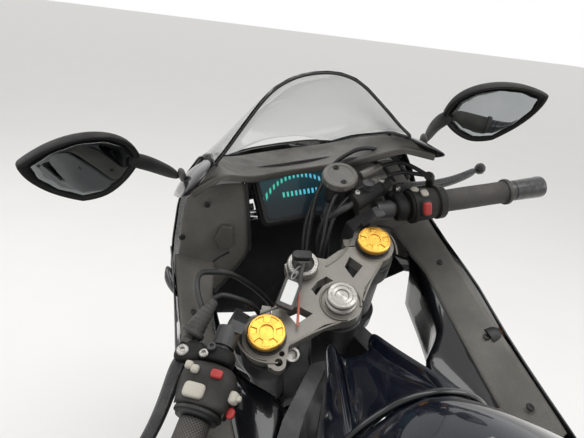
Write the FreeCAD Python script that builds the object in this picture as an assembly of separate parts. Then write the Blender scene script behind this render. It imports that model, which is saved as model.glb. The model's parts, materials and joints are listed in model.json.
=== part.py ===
import FreeCAD, Part
import math
import os

# Sport bike, parked on its side stand with the steering on its left stop.
# Millimetres. Chassis pieces are drawn with the bike upright: x forward from the rear
# axle, y to the rider's left, z up from the ground. Steering pieces are drawn straight
# ahead in the steering frame: its origin is on the steering axis, level with the top
# face of the upper yoke, x forward, y left, z up along the axis.

V = FreeCAD.Vector

# Stance
WHEELBASE = 1380.0
RAKE = 23.5                    # degrees
TRAIL = 97.0
LEAN = 11.0                    # degrees, to the left, on the side stand
STEER_STOP = 30.0              # degrees each way
YOKE_TOP = 870.0               # height of the upper yoke's top face on the axis
DRAWN_AXIS_X = 1098.713        # steering axis at that height, as the front is drawn
AHEAD = WHEELBASE + TRAIL - YOKE_TOP * math.tan(math.radians(RAKE)) - DRAWN_AXIS_X

# Wheels
FRONT_TYRE_R = 300.0
FRONT_CROWN_R = 60.0
FRONT_BEAD_HALF = 46.0
REAR_TYRE_R = 312.0
REAR_CROWN_R = 80.0
REAR_BEAD_HALF = 62.0
BEAD_R = 216.0
RIM_WALL = 6.0
FLANGE_H = 7.0
FLANGE_T = 4.0
AXLE_R = 10.0
SPOKES = 5
SPOKE_T = 26.0
FRONT_DISC_R = 145.0
FRONT_DISC_Y = 62.0            # inner face of the left front disc
REAR_DISC_R = 110.0
REAR_DISC_OUT = 91.0           # outer face of the rear disc
DISC_T = 4.5
SPROCKET_TEETH = 48
DRIVE_TEETH = 15
CHAIN_PITCH = 15.875
CHAIN_Y = 91.0
SPROCKET_T = 6.0
DRIVE_X = 622.0                # drive sprocket centre
DRIVE_Z = 400.0
DRIVE_R = 32.9                 # where the chain's rollers rest on it
CHAIN_RUN_TURN = 0.75          # radians that one run of side plates turns through

# Fork and yokes
FORK_HALF = 105.0              # fork centres to the middle plane
FORK_X = 31.0                  # fork centres ahead of the steering axis
FORK_TUBE_R = 25.0
FORK_SLIDER_R = 19.0
FOOT_R = 24.0
FENDER_Y = 65.5
FORK_TUBE_LOW = -390.0
YOKE_T = 20.0
CLAMP_R = 31.0
LOWER_YOKE_TOP = -185.0
LOWER_YOKE_T = 30.0
STEM_R = 16.5
STEM_BORE = 6.0                # radius of the hole down the stem
FENDER_SWEEP = 113.0           # degrees of arc over the tyre
FENDER_TURN = -165.0
LOCK_X = 72.0                  # ignition lock ahead of the steering axis
CLIP_LOW = -58.0               # lower face of the clip-ons' clamps
CLIP_DROP = 3.0                # clamps below the upper yoke
SLIT_TURN = 52.0               # degrees, clamp slits and their lugs
FORK_CAP_R = 24.0
FORK_CAP_FLATS = 22.5          # half width across the cap's flats
STEM_NUT_R = 21.0
HEAD_R = 32.0
HEAD_TOP = -25.0
HEAD_LOW = -180.0
RUN_GAP = 0.4                  # running clearance at pins and bearings
SEAT_GAP = 0.3                 # clearance where one piece rests on another

# Bars
BAR_R = 11.0
BAR_START = (45.0, 162.0, 25.0)
BAR_SWEEP = 31.5               # degrees back from straight across
BAR_LEN = 252.0
GRIP_R = 16.5
GRIP_FROM = 82.0
GRIP_TO = 186.0
SWITCH_FROM = 26.0

# Seat, tank and skin
SKIN = 3.0
SUBFRAME_R = 11.0
SUBFRAME_Z = 740.0
PIVOT = (530.0, 385.0)         # swingarm pivot, x and z
PIVOT_R = 24.0
ARM_IN = 108.0
ARM_OUT = 136.0
ARM_BEAM_TOP = 396.0
ARM_BEAM_GAP = 24.0            # cross beam to the rear tyre
ARM_BEAM_LONG = 68.0
BOBBIN_X = -30.0
BOBBIN_LONG = 24.0
SHOCK_EYE_R = 14.0
PLATE_IN = 137.0
PLATE_OUT = 155.0
BOBBIN_BORE = 4.0              # radius of the paddock stand holes
CAP_X = 752.0                  # filler cap centre
CAP_Z = 959.0
CAP_R = 46.0
TANK_FRONT = 888.0
BOSS_DEEP = 48.0               # filler boss, down into the tank
NECK_DEEP = 44.0
CAP_OPEN = 95.0                # degrees
# screen's section: shares of its half width and of its height, foot to crest
SCREEN_BELL = [(1.0, 0.0), (0.89, 0.13), (0.74, 0.40), (0.5, 0.72), (0.225, 0.96), (0.0, 1.0)]

SILENCER_Y = 204.0

# Mirrors: neck, direction across the glass and the way it faces, left side
MIRROR_NECK = (1262.0, 229.0, 1052.0)
MIRROR_U = (-0.428, 0.883, 0.197)
MIRROR_N = (-0.859, -0.329, -0.393)

# Fairing stay, from the spars out to the cowls and the dash
STAY_X = 1060.0 + AHEAD
STAY_Z = 730.0
STAY_REACH = 223.0
STAY_R = 6.0

# Side stand
STAND_PIVOT = (556.0, 168.0, 262.0)
STAND_FOOT_OUT = 145.0         # foot centre outside the pivot, on the floor
STAND_R = 11.0
STAND_EYE = 11.5               # half length of the eye on the pivot pin
STAND_PIN_R = 6.0
STAND_SWING = 95.0             # degrees, from parked to folded


def vec(p):
    return V(*p)


def rod(start, end, radius):
    start, end = vec(start), vec(end)
    return Part.makeCylinder(radius, (end - start).Length, start, end - start)


def ring(start, end, outer, inner):
    return rod(start, end, outer).cut(rod(start, end, inner))


def cone(start, end, r_start, r_end):
    start, end = vec(start), vec(end)
    return Part.makeCone(r_start, r_end, (end - start).Length, start, end - start)


def block(low, high):
    size = [b - a for a, b in zip(low, high)]
    return Part.makeBox(size[0], size[1], size[2], vec(low))


def closed(points):
    return Part.makePolygon([vec(p) for p in points] + [vec(points[0])])


def side_plate(outline, y_low, y_high):
    """Solid with an (x, z) outline, between two y planes."""
    face = Part.Face(closed([(x, y_low, z) for x, z in outline]))
    return face.extrude(V(0, y_high - y_low, 0))


def flat_plate(outline, z_low, z_high):
    """Solid with an (x, y) outline, between two z planes."""
    face = Part.Face(closed([(x, y, z_low) for x, y in outline]))
    return face.extrude(V(0, 0, z_high - z_low))


def turned(profile):
    """Solid of revolution about the y axis from (radius, y) points."""
    face = Part.Face(closed([(r, y, 0) for r, y in profile]))
    return face.revolve(V(0, 0, 0), V(0, 1, 0), 360)


def loft(outlines, wall=0):
    """Flat-faced solid through closed outlines of as many points each.

    Each cell between two outlines is split along a diagonal. For a thin wall, the first
    wall points are its outside and the rest its inside, split along the same diagonals.
    """
    rows = [[vec(p) for p in outline] for outline in outlines]
    count = len(rows[0])
    faces = []
    for near, far in zip(rows, rows[1:]):
        for j in range(count):
            k = (j + 1) % count
            if wall and j >= wall:
                cells = ((near[j], near[k], far[j]), (near[k], far[k], far[j]))
            else:
                cells = ((near[j], near[k], far[k]), (near[j], far[k], far[j]))
            faces += [Part.Face(Part.makePolygon(cell + cell[:1])) for cell in cells]
    for outline in (rows[0], rows[-1]):
        faces.append(Part.Face(Part.makePolygon(outline + outline[:1])))
    shell = Part.makeShell(faces)
    shell.sewShape()
    solid = Part.makeSolid(shell)
    if solid.Volume < 0:
        solid.reverse()
    return solid


def arched_loft(wires):
    """Straight-sided loft through sections of lines and arcs."""
    return Part.makeLoft(wires, True, True)


def mirrored(shape):
    return shape.mirror(V(0, 0, 0), V(0, 1, 0))


def both(shape):
    return [shape, mirrored(shape)]


def fused(shapes):
    return shapes[0].multiFuse(shapes[1:]).removeSplitter()


def group(shapes):
    solids = [solid for shape in shapes for solid in shape.Solids]
    return Part.Compound(solids)


def ball(centre, radius):
    """Ball with a small flat at each pole."""
    flat = 0.2 * radius
    h = math.sqrt(radius ** 2 - flat ** 2)
    low, high = V(flat, 0, -h), V(flat, 0, h)
    edges = [Part.LineSegment(V(0, 0, -h), low).toShape(),
             Part.Arc(low, V(radius, 0, 0), high).toShape(),
             Part.LineSegment(high, V(0, 0, h)).toShape(),
             Part.LineSegment(V(0, 0, h), V(0, 0, -h)).toShape()]
    solid = Part.Face(Part.Wire(edges)).revolve(V(0, 0, 0), V(0, 0, 1), 360)
    solid.translate(vec(centre))
    return solid


def corner_bend(before, corner, after):
    """Half the turn at a corner, the arc's reach along each run, and its radius."""
    half_turn = (math.pi - (before - corner).getAngle(after - corner)) / 2
    reach = 0.45 * min((before - corner).Length, (after - corner).Length)
    return half_turn, reach, reach / math.tan(half_turn)


def bent_pipe(points, radius):
    """Round bar along straight runs joined by tangent arcs."""
    points = [vec(p) for p in points]
    pieces = []
    at = points[0]
    for before, corner, after in zip(points, points[1:], points[2:]):
        half_turn, reach, bend = corner_bend(before, corner, after)
        back = (before - corner).normalize()
        ahead = (after - corner).normalize()
        enter = corner + back * reach
        leave = corner + ahead * reach
        inward = (back + ahead).normalize()
        centre = corner + inward * (bend / math.cos(half_turn))
        pieces.append(Part.makeCylinder(radius, (enter - at).Length, at, enter - at))
        disc = Part.Face(Part.Wire(Part.makeCircle(radius, enter, back)))
        axis = ahead.cross(back)
        pieces.append(disc.revolve(centre, axis, math.degrees(2 * half_turn)))
        at = leave
    pieces.append(Part.makeCylinder(radius, (points[-1] - at).Length, at, points[-1] - at))
    return fused(pieces)


def on_bar(side, s, ahead=0.0, up=0.0):
    """Point s along the handlebar from its inner end, in the steering frame."""
    sweep = math.radians(BAR_SWEEP)
    x = BAR_START[0] - s * math.sin(sweep) + ahead * math.cos(sweep)
    y = BAR_START[1] + s * math.cos(sweep) + ahead * math.sin(sweep)
    return (x, side * y, BAR_START[2] + up)


def spin(shape, degrees, centre=(0, 0, 0), axis=(0, 1, 0)):
    turned_shape = shape.copy()
    turned_shape.rotate(vec(centre), vec(axis), degrees)
    return turned_shape


def shifted(shape, offset):
    moved = shape.copy()
    moved.translate(vec(offset))
    return moved


# Wheels, each drawn round the y axis at the origin

def crown_profile(radius, crown):
    """Points (radius, y) over a tyre's round crown, in five flats."""
    points = []
    for degrees in (90, 54, 18, -18, -54, -90):
        a = math.radians(degrees)
        points.append((radius - crown + crown * math.cos(a), crown * math.sin(a)))
    return points


def tyre(radius, crown, bead_half):
    """Ring with a round crown and a straight bead."""
    wall = BEAD_R + FLANGE_H
    inner = [(wall, -bead_half), (BEAD_R, -bead_half), (BEAD_R, bead_half), (wall, bead_half)]
    return turned(crown_profile(radius, crown) + inner)


def rim(bead_half, hub_r, hub_low, hub_high):
    """Rim barrel with flanges, forked spokes and a bored hub."""
    seat_r = BEAD_R - SEAT_GAP
    barrel_r = seat_r - RIM_WALL
    lip_in = bead_half + SEAT_GAP
    lip_out = lip_in + FLANGE_T
    lip_r = BEAD_R + FLANGE_H
    barrel = turned([(barrel_r, -lip_out), (lip_r, -lip_out), (lip_r, -lip_in), (seat_r, -lip_in),
                     (seat_r, lip_in), (lip_r, lip_in), (lip_r, lip_out), (barrel_r, lip_out)])
    hub = rod((0, hub_low, 0), (0, hub_high, 0), hub_r)
    fork_r = 0.55 * barrel_r
    reach = barrel_r + RIM_WALL / 2
    leg = math.radians(17)
    root, waist, tip = 17.0, 13.0, 9.0
    tip_x, tip_z = reach * math.cos(leg), reach * math.sin(leg)
    outline = [(hub_r - 8, -root), (fork_r, -waist), (tip_x, -tip_z - tip), (tip_x + 2, -tip_z + tip),
               (fork_r + 22, 0), (tip_x + 2, tip_z - tip), (tip_x, tip_z + tip), (fork_r, waist),
               (hub_r - 8, root)]
    spoke = side_plate(outline, -SPOKE_T / 2, SPOKE_T / 2)
    spokes = [spin(spoke, 360.0 * i / SPOKES) for i in range(SPOKES)]
    solid = fused([barrel, hub] + spokes)
    return solid.cut(rod((0, hub_low - 1, 0), (0, hub_high + 1, 0), AXLE_R + RUN_GAP))


def brake_disc(radius, band, centre_r, y_low, holes):
    """Drilled ring with arms to its bolted centre."""
    y_high = y_low + DISC_T
    swept = ring((0, y_low, 0), (0, y_high, 0), radius, radius - band)
    centre = ring((0, y_low, 0), (0, y_high, 0), centre_r + 14, centre_r)
    arm = side_plate([(centre_r + 8, -8), (radius - band + 3, -5), (radius - band + 3, 5),
                      (centre_r + 8, 8)], y_low, y_high)
    arms = [spin(arm, 72.0 * i + 36) for i in range(5)]
    solid = fused([swept, centre] + arms)
    drill = rod((radius - band / 2, y_low - 1, 0), (radius - band / 2, y_high + 1, 0), band / 6)
    return solid.cut(group([spin(drill, 360.0 * i / holes) for i in range(holes)]))


def sprocket():
    """Toothed ring with five windows, teeth as the chain's rollers leave them."""
    pitch_r = CHAIN_PITCH / (2 * math.sin(math.pi / SPROCKET_TEETH))
    outline = []
    for i in range(SPROCKET_TEETH):
        for share, depth in ((-0.32, -4.5), (-0.12, 4.0), (0.12, 4.0), (0.32, -4.5)):
            a = 2 * math.pi * (i + share) / SPROCKET_TEETH
            outline.append(((pitch_r + depth) * math.cos(a), (pitch_r + depth) * math.sin(a)))
    low, high = CHAIN_Y - SPROCKET_T / 2, CHAIN_Y + SPROCKET_T / 2
    disc = side_plate(outline, low, high)
    window = []
    for r, degrees in ((62, -22), (104, -26), (104, 26), (62, 22)):
        a = math.radians(degrees)
        window.append((r * math.cos(a), r * math.sin(a)))
    cutter = side_plate(window, low - 1, high + 1)
    cuts = [spin(cutter, 72.0 * i) for i in range(5)]
    cuts.append(rod((0, low - 1, 0), (0, high + 1, 0), AXLE_R + RUN_GAP))
    return disc.cut(group(cuts))


# Steering, drawn straight ahead in the steering frame

def left_right(make):
    return [make(1), make(-1)]


def upper_yoke():
    """Cast plate: clamps, stem boss, lock boss, triangular windows, left ear."""
    top, low = 0.0, -YOKE_T
    half = [(-26, 0), (-24, 14), (-8, 40), (2, 92), (20, 100), (46, 90), (58, 62), (60, 36),
            (74, 26), (94, 14), (94, 0)]
    outline = half + [(x, -y) for x, y in reversed(half[1:-1])]
    solids = [flat_plate(outline, low, top)]
    solids.append(rod((0, 0, low), (0, 0, top), 29))
    for side in (1, -1):
        centre = V(FORK_X, side * FORK_HALF, 0)
        solids.append(rod((centre.x, centre.y, low), (centre.x, centre.y, top), CLAMP_R))
        lug = block((0, -13, low), (CLAMP_R + 11, 13, top))
        lug = spin(lug, -side * SLIT_TURN, (0, 0, 0), (0, 0, 1))
        solids.append(shifted(lug, (centre.x, centre.y, 0)))
    ear = flat_plate([(9, 86), (22, 118), (0, 130), (-9, 124), (-13, 114)], low + 8, top)
    solids.append(ear)
    solids.append(rod((-4, 118, low + 8), (-4, 118, top), 10))
    plate = fused(solids)
    cuts = [rod((0, 0, low - 1), (0, 0, top + 1), STEM_R + RUN_GAP),
            rod((LOCK_X, 0, low - 1), (LOCK_X, 0, top + 1), 18)]
    window = [(40, 64), (17, 66), (13, 40), (34, 46)]
    crescent = [(29, -17), (40, -15), (43, 0), (40, 15), (29, 17), (33, 0)]
    cuts.append(flat_plate(crescent, low - 1, top + 1))
    for side in (1, -1):
        x, y = FORK_X, side * FORK_HALF
        cuts.append(rod((x, y, low - 1), (x, y, top + 1), FORK_TUBE_R + SEAT_GAP))
        cuts.append(flat_plate([(px, side * py) for px, py in window], low - 1, top + 1))
        slit = block((0, -1, low - 1), (CLAMP_R + 20, 1, top + 1))
        slit = spin(slit, -side * SLIT_TURN, (0, 0, 0), (0, 0, 1))
        cuts.append(shifted(slit, (x, y, 0)))
    cuts.append(rod((-4, 117, low), (-4, 117, top + 1), 5))
    cuts.append(rod((1.3, 105.7 + 1, low), (1.3, 105.7 + 1, top + 1), 3.5))
    return plate.cut(group(cuts))


def lower_yoke():
    """Lower clamp plate with the steering stem."""
    top = LOWER_YOKE_TOP
    low = top - LOWER_YOKE_T
    half = [(-30, 0), (-26, 20), (-2, 98), (31, 112), (62, 100), (52, 40), (48, 0)]
    outline = half + [(x, -y) for x, y in reversed(half[1:-1])]
    solids = [flat_plate(outline, low, top)]
    solids += [rod((FORK_X, s * FORK_HALF, low), (FORK_X, s * FORK_HALF, top), CLAMP_R + 2)
               for s in (1, -1)]
    solids.append(rod((0, 0, low), (0, 0, 2), STEM_R))
    bores = [rod((FORK_X, s * FORK_HALF, low - 1), (FORK_X, s * FORK_HALF, top + 1),
                 FORK_TUBE_R + SEAT_GAP) for s in (1, -1)]
    return fused(solids).cut(group(bores)).cut(rod((0, 0, -30), (0, 0, 3), 6))


def fork_tube(side):
    return rod((FORK_X, side * FORK_HALF, FORK_TUBE_LOW), (FORK_X, side * FORK_HALF, 2), FORK_TUBE_R)


def axle_drop():
    """Height of the front axle below the steering frame's origin."""
    rake = math.radians(RAKE)
    axis_x = WHEELBASE + TRAIL - YOKE_TOP * math.tan(rake)
    dx, dz = WHEELBASE - axis_x, FRONT_TYRE_R - YOKE_TOP
    return (dx * math.cos(rake) + dz * math.sin(rake), -dx * math.sin(rake) + dz * math.cos(rake))


AXLE_X, AXLE_Z = axle_drop()


def fork_legs():
    """Chromed sliders, foot castings with caliper lugs, and the axle."""
    solids = []
    for side in (1, -1):
        y = side * FORK_HALF
        slider = rod((FORK_X, y, AXLE_Z + 180), (FORK_X, y, FORK_TUBE_LOW - SEAT_GAP), FORK_SLIDER_R)
        boot = rod((FORK_X, y, AXLE_Z + 190), (FORK_X, y, AXLE_Z + 14), FOOT_R)
        foot = rod((AXLE_X, side * 88, AXLE_Z), (AXLE_X, side * 124, AXLE_Z), 27)
        lug = side_plate([(FORK_X, AXLE_Z + 26), (FORK_X - 62, AXLE_Z + 40), (FORK_X - 70, AXLE_Z + 62),
                          (FORK_X - 40, AXLE_Z + 112), (FORK_X, AXLE_Z + 92)], side * 85, side * 104)
        solids += [slider, boot, foot, lug]
    solids.append(rod((AXLE_X, -129, AXLE_Z), (AXLE_X, 129, AXLE_Z), AXLE_R))
    for side in (1, -1):
        solids.append(rod((AXLE_X, side * 62.5, AXLE_Z), (AXLE_X, side * 90, AXLE_Z), 16))
    return fused(solids)


def fork_cap(side):
    """Anodised cap: round collar, eight flats, a lobed recess round a raised centre."""
    x, y = FORK_X, side * FORK_HALF
    low, shelf, top = 2 + SEAT_GAP, 8.0, 15.0
    collar = rod((x, y, low), (x, y, shelf), FORK_CAP_R)
    corner = FORK_CAP_FLATS / math.cos(math.pi / 8)
    flats = [(x + corner * math.cos(math.pi * (i + 0.5) / 4),
              y + corner * math.sin(math.pi * (i + 0.5) / 4)) for i in range(8)]
    crown = flat_plate(flats, shelf, top).common(rod((x, y, shelf), (x, y, top), 23.6))
    recess = ring((x, y, top - 4.5), (x, y, top + 1), 15.5, 8.5)
    lobes = [spin(block((x + 11.5, y - 3, top - 6), (x + 17, y + 3, top + 2)), 60.0 * i + 15,
                  (x, y, 0), (0, 0, 1)) for i in range(6)]
    return fused([collar, crown]).cut(recess.cut(group(lobes)))


def stem_nut():
    nut = rod((0, 0, SEAT_GAP), (0, 0, 5), STEM_NUT_R)
    nut = nut.fuse(cone((0, 0, 5), (0, 0, 9), STEM_NUT_R - 1, STEM_NUT_R - 6))
    return nut.cut(rod((0, 0, -1), (0, 0, 12), STEM_BORE)).cut(
        rod((0, 0, -1), (0, 0, 2 + SEAT_GAP), STEM_R + RUN_GAP))


def ignition_switch():
    """Lock barrel through the yoke, its bezel, and the key with its tag."""
    x = LOCK_X
    barrel = rod((x, 0, -62), (x, 0, 10), 17)
    body = block((x - 24, -22, -62), (x + 24, 22, -YOKE_T - 2))
    bezel = ring((x, 0, SEAT_GAP), (x, 0, 12), 22, 16)
    slot = spin(block((x - 7, -1.5, 6), (x + 7, 1.5, 12)), 60, (x, 0, 0), (0, 0, 1))
    lock = fused([barrel, body, bezel]).cut(slot)
    return lock


def ignition_key():
    """Key blade in the slot, with its moulded head."""
    x = LOCK_X
    blade = block((x - 5, -1.1, 7), (x + 5, 1.1, 26))
    head = block((x - 11, -4, 25), (x + 11, 4, 46))
    eye = rod((x, -5, 40), (x, 5, 40), 2.6)
    return spin(fused([blade, head]).cut(eye), 60, (x, 0, 0), (0, 0, 1))


def clip_on(side):
    """Fork clamp under the yoke, forged riser and bar tube."""
    x, y = FORK_X, side * FORK_HALF
    top = -YOKE_T - CLIP_DROP
    clamp = rod((x, y, CLIP_LOW), (x, y, top), CLAMP_R + 3)
    foot = flat_plate([(52, side * 92), (80, side * 96), (84, side * 112), (62, side * 134),
                       (44, side * 128)], CLIP_LOW, top)
    riser = loft([[(60, side * 94, -40), (86, side * 100, -40),
                   (80, side * 122, -40), (56, side * 128, -40)],
                  [(64, side * 102, 2), (86, side * 108, 2), (78, side * 128, 2), (56, side * 126, 2)],
                  [(46, side * 124, 36), (62, side * 131, 36), (58, side * 145, 36), (40, side * 136, 36)]])
    neck = rod(on_bar(side, -26), on_bar(side, -2), 14)
    bar = rod(on_bar(side, -20), on_bar(side, BAR_LEN - 60), BAR_R)
    solid = fused([clamp, foot, riser, neck, bar])
    return solid.cut(rod((x, y, CLIP_LOW - 1), (x, y, 3), FORK_TUBE_R + SEAT_GAP)).cut(
        block((x - 60, y - 60, -YOKE_T - 1), (x + 34, y + 60, 16)).common(
            rod((x, y, -30), (x, y, 16), CLAMP_R + 2)))


def grip(side):
    """Rubber grip with its end flange, and the turned bar end."""
    start, stop = on_bar(side, GRIP_FROM), on_bar(side, GRIP_TO)
    rubber = ring(start, stop, GRIP_R, BAR_R + SEAT_GAP)
    flange = ring(stop, on_bar(side, GRIP_TO + 6), GRIP_R + 3, BAR_R + SEAT_GAP)
    return rubber.fuse(flange)


def bar_end(side):
    return cone(on_bar(side, GRIP_TO + 6 + SEAT_GAP), on_bar(side, BAR_LEN), 15, 17).cut(
        rod(on_bar(side, GRIP_TO), on_bar(side, BAR_LEN - 60 + SEAT_GAP), BAR_R + SEAT_GAP))


def switch_pod(side):
    """Moulded housing round the bar, with its buttons."""
    s0, s1 = SWITCH_FROM, GRIP_FROM - 2
    drum = rod(on_bar(side, s0), on_bar(side, s1), 23)
    collar = rod(on_bar(side, s1 - 12), on_bar(side, s1), 25)
    length = s1 - s0 - 12
    shoulder = block((-26, 0, -14), (20, length, 24))
    shoulder = spin(shoulder, BAR_SWEEP, (0, 0, 0), (0, 0, 1))
    shoulder = shifted(shoulder, on_bar(1, s0))
    if side < 0:
        shoulder = mirrored(shoulder)
    solid = fused([drum, collar, shoulder] + buttons(side))
    return solid.cut(rod(on_bar(side, s0 - 1), on_bar(side, s1 + 1), BAR_R + SEAT_GAP))


def buttons(side):
    """Raised switch keys on the housing's top and rear faces."""
    keys = []
    table = [(34, 6, 23, 14, 12), (34, -14, 23, 12, 10), (56, -6, 23, 18, 16)]
    for s, ahead, up, length, width in table:                # along the bar, ahead, above, sizes
        key = block((-width / 2, -length / 2, 0), (width / 2, length / 2, 6))
        key = spin(key, BAR_SWEEP, (0, 0, 0), (0, 0, 1))
        keys.append(shifted(key, on_bar(1, s, ahead, up)))
    return keys if side > 0 else [mirrored(key) for key in keys]


def lever(side):
    """Cast perch on the bar, the blade lever, and on the right the master cylinder."""
    perch = rod(on_bar(side, 2), on_bar(side, 22), 17)
    root = [on_bar(side, 2, 8, -10), on_bar(side, 20, 8, -10),
            on_bar(side, 20, 8, 10), on_bar(side, 2, 8, 10)]
    end = [on_bar(side, 4, 44, -10), on_bar(side, 24, 44, -10),
           on_bar(side, 24, 44, 8), on_bar(side, 4, 44, 8)]
    arm = loft([root, end])
    mount = fused([perch, arm]).cut(rod(on_bar(side, 0), on_bar(side, 24), BAR_R + SEAT_GAP))
    stations = [(16, 40, 9, 8), (60, 40, 8, 7), (110, 42, 7, 6), (150, 52, 6, 5), (176, 60, 6, 5)]
    sections = []
    for s, ahead, wide, tall in stations:                    # along the bar, ahead of it, half sizes
        sections.append([on_bar(side, s, ahead - wide, -6 - tall), on_bar(side, s, ahead + wide, -6 - tall),
                         on_bar(side, s, ahead + wide, -6 + tall), on_bar(side, s, ahead - wide, -6 + tall)])
    blade = loft(sections)
    end = ball(on_bar(side, 180, 61, -6), 9)
    if side > 0:
        return fused([mount, blade, end])
    master = rod((84, -112, 42), (76, -192, 42), 14)
    return fused([mount, blade, end, master])


def brake_reservoir():
    """Round fluid cup with its lid, on a short bracket."""
    cup = cone((121, -122, 22), (121, -122, 58), 21, 23)
    lid = rod((121, -122, 58), (121, -122, 68), 26)
    lug = block((97.6, -127, 34), (106, -117, 44))
    return fused([cup, lid, lug])


def front_fender():
    """Curved guard over the front tyre with legs to the fork."""
    inner, outer, half = FRONT_TYRE_R + 16, FRONT_TYRE_R + 19, 68.0
    centre_r = inner - 66
    arcs = []
    for low_r, sign in ((outer, 1), (inner, -1)):
        crown = []
        for degrees in (-72, -36, 0, 36, 72):
            a = math.radians(degrees) * sign
            rise = low_r - centre_r
            crown.append((centre_r + rise * math.cos(a), half / 66 * rise * math.sin(a)))
        arcs += crown
    face = Part.Face(closed([(r, y, 0) for r, y in arcs]))
    guard = face.revolve(V(0, 0, 0), V(0, 1, 0), FENDER_SWEEP)
    guard = spin(guard, FENDER_TURN)
    return guard


def fork_fender():
    """Front fender in the steering frame, its legs bolted to the fork feet."""
    solids = [shifted(front_fender(), (AXLE_X, 0, AXLE_Z))]
    edge = FENDER_Y
    for side in (1, -1):
        leg = side_plate([(-12, -358), (14, -480), (48, -480), (66, -372)], edge, edge + 3)
        foot = side_plate([(16, -480), (46, -480), (46, -452), (16, -452)], edge + 1,
                          FORK_HALF - FOOT_R - SEAT_GAP)
        solids += [leg, foot] if side > 0 else [mirrored(leg), mirrored(foot)]
    return fused(solids)


def front_caliper(side):
    """Four-piston caliper straddling the disc behind the fork leg."""
    disc_low, disc_high = FRONT_DISC_Y - 4, FRONT_DISC_Y + DISC_T + 4
    outline = [(-92, 22), (-128, 60), (-124, 96), (-88, 118), (-52, 112), (-46, 84), (-66, 40)]
    outer = side_plate([(AXLE_X + x, AXLE_Z + z) for x, z in outline], disc_high - 46, 84.5)
    slot = block((AXLE_X - 140, disc_low, AXLE_Z), (AXLE_X, disc_high, AXLE_Z + 140)).common(
        rod((AXLE_X, 0, AXLE_Z), (AXLE_X, 120, AXLE_Z), FRONT_DISC_R + 5))
    solid = outer.cut(slot)
    return solid if side > 0 else mirrored(solid)


def hose_routes():
    """Brake hoses and control cables held along the fork: radius and corners."""
    yoke = LOWER_YOKE_TOP + SEAT_GAP
    under = LOWER_YOKE_TOP - LOWER_YOKE_T - SEAT_GAP
    return {
        "brake": (5.0, [(84.1, -111.4, 42), (86, -92, 42), (108, -78, 8), (112, -78, -50), (84, -70, -110),
                        (44, -70, -150), (44, -70, yoke)]),
        "clutch": (4.0, [(71.6, 181.8, 25), (90, 151.5, 27), (118, 142, 44), (142, 122, 40), (132, 78, 4),
                         (104, 46, -56), (76, 30, -120), (46, 26, -150), (46, 26, yoke)]),
        "throttle_open": (3.5, [(74, -206, 32), (108, -204, 50), (148, -168, 56), (158, -118, 12),
                                (124, -66, -50), (86, -28, -110), (46, -14, -150), (46, -14, yoke)]),
        "throttle_close": (3.5, [(58, -214, 44), (92, -216, 66), (132, -186, 80), (164, -152, 40),
                                 (146, -78, -36), (100, -40, -100), (46, -34, -150), (46, -34, yoke)]),
        "brake_left": (4.0, [(46, 62, under), (46, 72, -300), (0, 74, -400), (-40, 74, -470),
                             (-48, 74, -517.8)]),
        "brake_right": (4.0, [(46, -62, under), (46, -72, -300), (0, -74, -400), (-40, -74, -470),
                              (-48, -74, -517.8)]),
    }


def hoses():
    return [bent_pipe(points, radius) for radius, points in hose_routes().values()]


# Chassis, drawn upright

def steering_placement(steer):
    """Steering frame in the bike, turned by steer degrees to the left."""
    rake = math.radians(RAKE)
    origin = V(WHEELBASE + TRAIL - YOKE_TOP * math.tan(rake), 0, YOKE_TOP)
    tilt = FreeCAD.Rotation(V(0, 1, 0), -RAKE)
    turn = FreeCAD.Rotation(V(0, 0, 1), steer)
    return FreeCAD.Placement(origin, tilt.multiply(turn))


def rect(x, y0, y1, z0, z1):
    return [(x, y0, z0), (x, y1, z0), (x, y1, z1), (x, y0, z1)]


def spar(grow=0.0):
    """Left main spar, from the head tube to the swingarm pivot."""
    stations = [(1128 + AHEAD, 24, 752, 12, 52), (1070 + AHEAD, 40, 748, 13, 54),
                (1010 + AHEAD, 92, 735, 14, 50), (940 + 0.5 * AHEAD, 138, 712, 14, 46),
                (800, 146, 664, 12, 42), (660, 146, 600, 9, 42),
                (575, 146, 530, 9, 50)]                     # x, y, z, half width, half height
    return loft([rect(x, y - w - grow, y + w + grow, z - h - grow, z + h + grow)
                 for x, y, z, w, h in stations])


def pivot_plate(grow=0.0):
    outline = [(500, 330), (560, 318), (572, 420), (600, 500),
               (590, 570), (560, 560), (520, 470), (498, 400)]
    return side_plate(outline, PLATE_IN - grow, PLATE_OUT + grow)


def subframe():
    """Tubular rails and braces that carry the seats and the tail."""
    rail = bent_pipe([(640, 142, 600), (585, 118, SUBFRAME_Z - 40), (520, 100, SUBFRAME_Z),
                      (215, 90, SUBFRAME_Z), (120, 82, 790), (-100, 46, 836)], SUBFRAME_R)
    brace = rod((560, 142, 520), (330, 94, SUBFRAME_Z - 4), SUBFRAME_R - 2)
    cross = [rod((x, -y, z), (x, y, z), SUBFRAME_R - 1)
             for x, y, z in ((500, 99, SUBFRAME_Z), (270, 92, SUBFRAME_Z), (-84, 48, 832))]
    solid = fused(both(rail) + both(brace) + cross)
    return solid.cut(group(both(spar(SEAT_GAP)) + both(pivot_plate(SEAT_GAP))))


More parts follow.
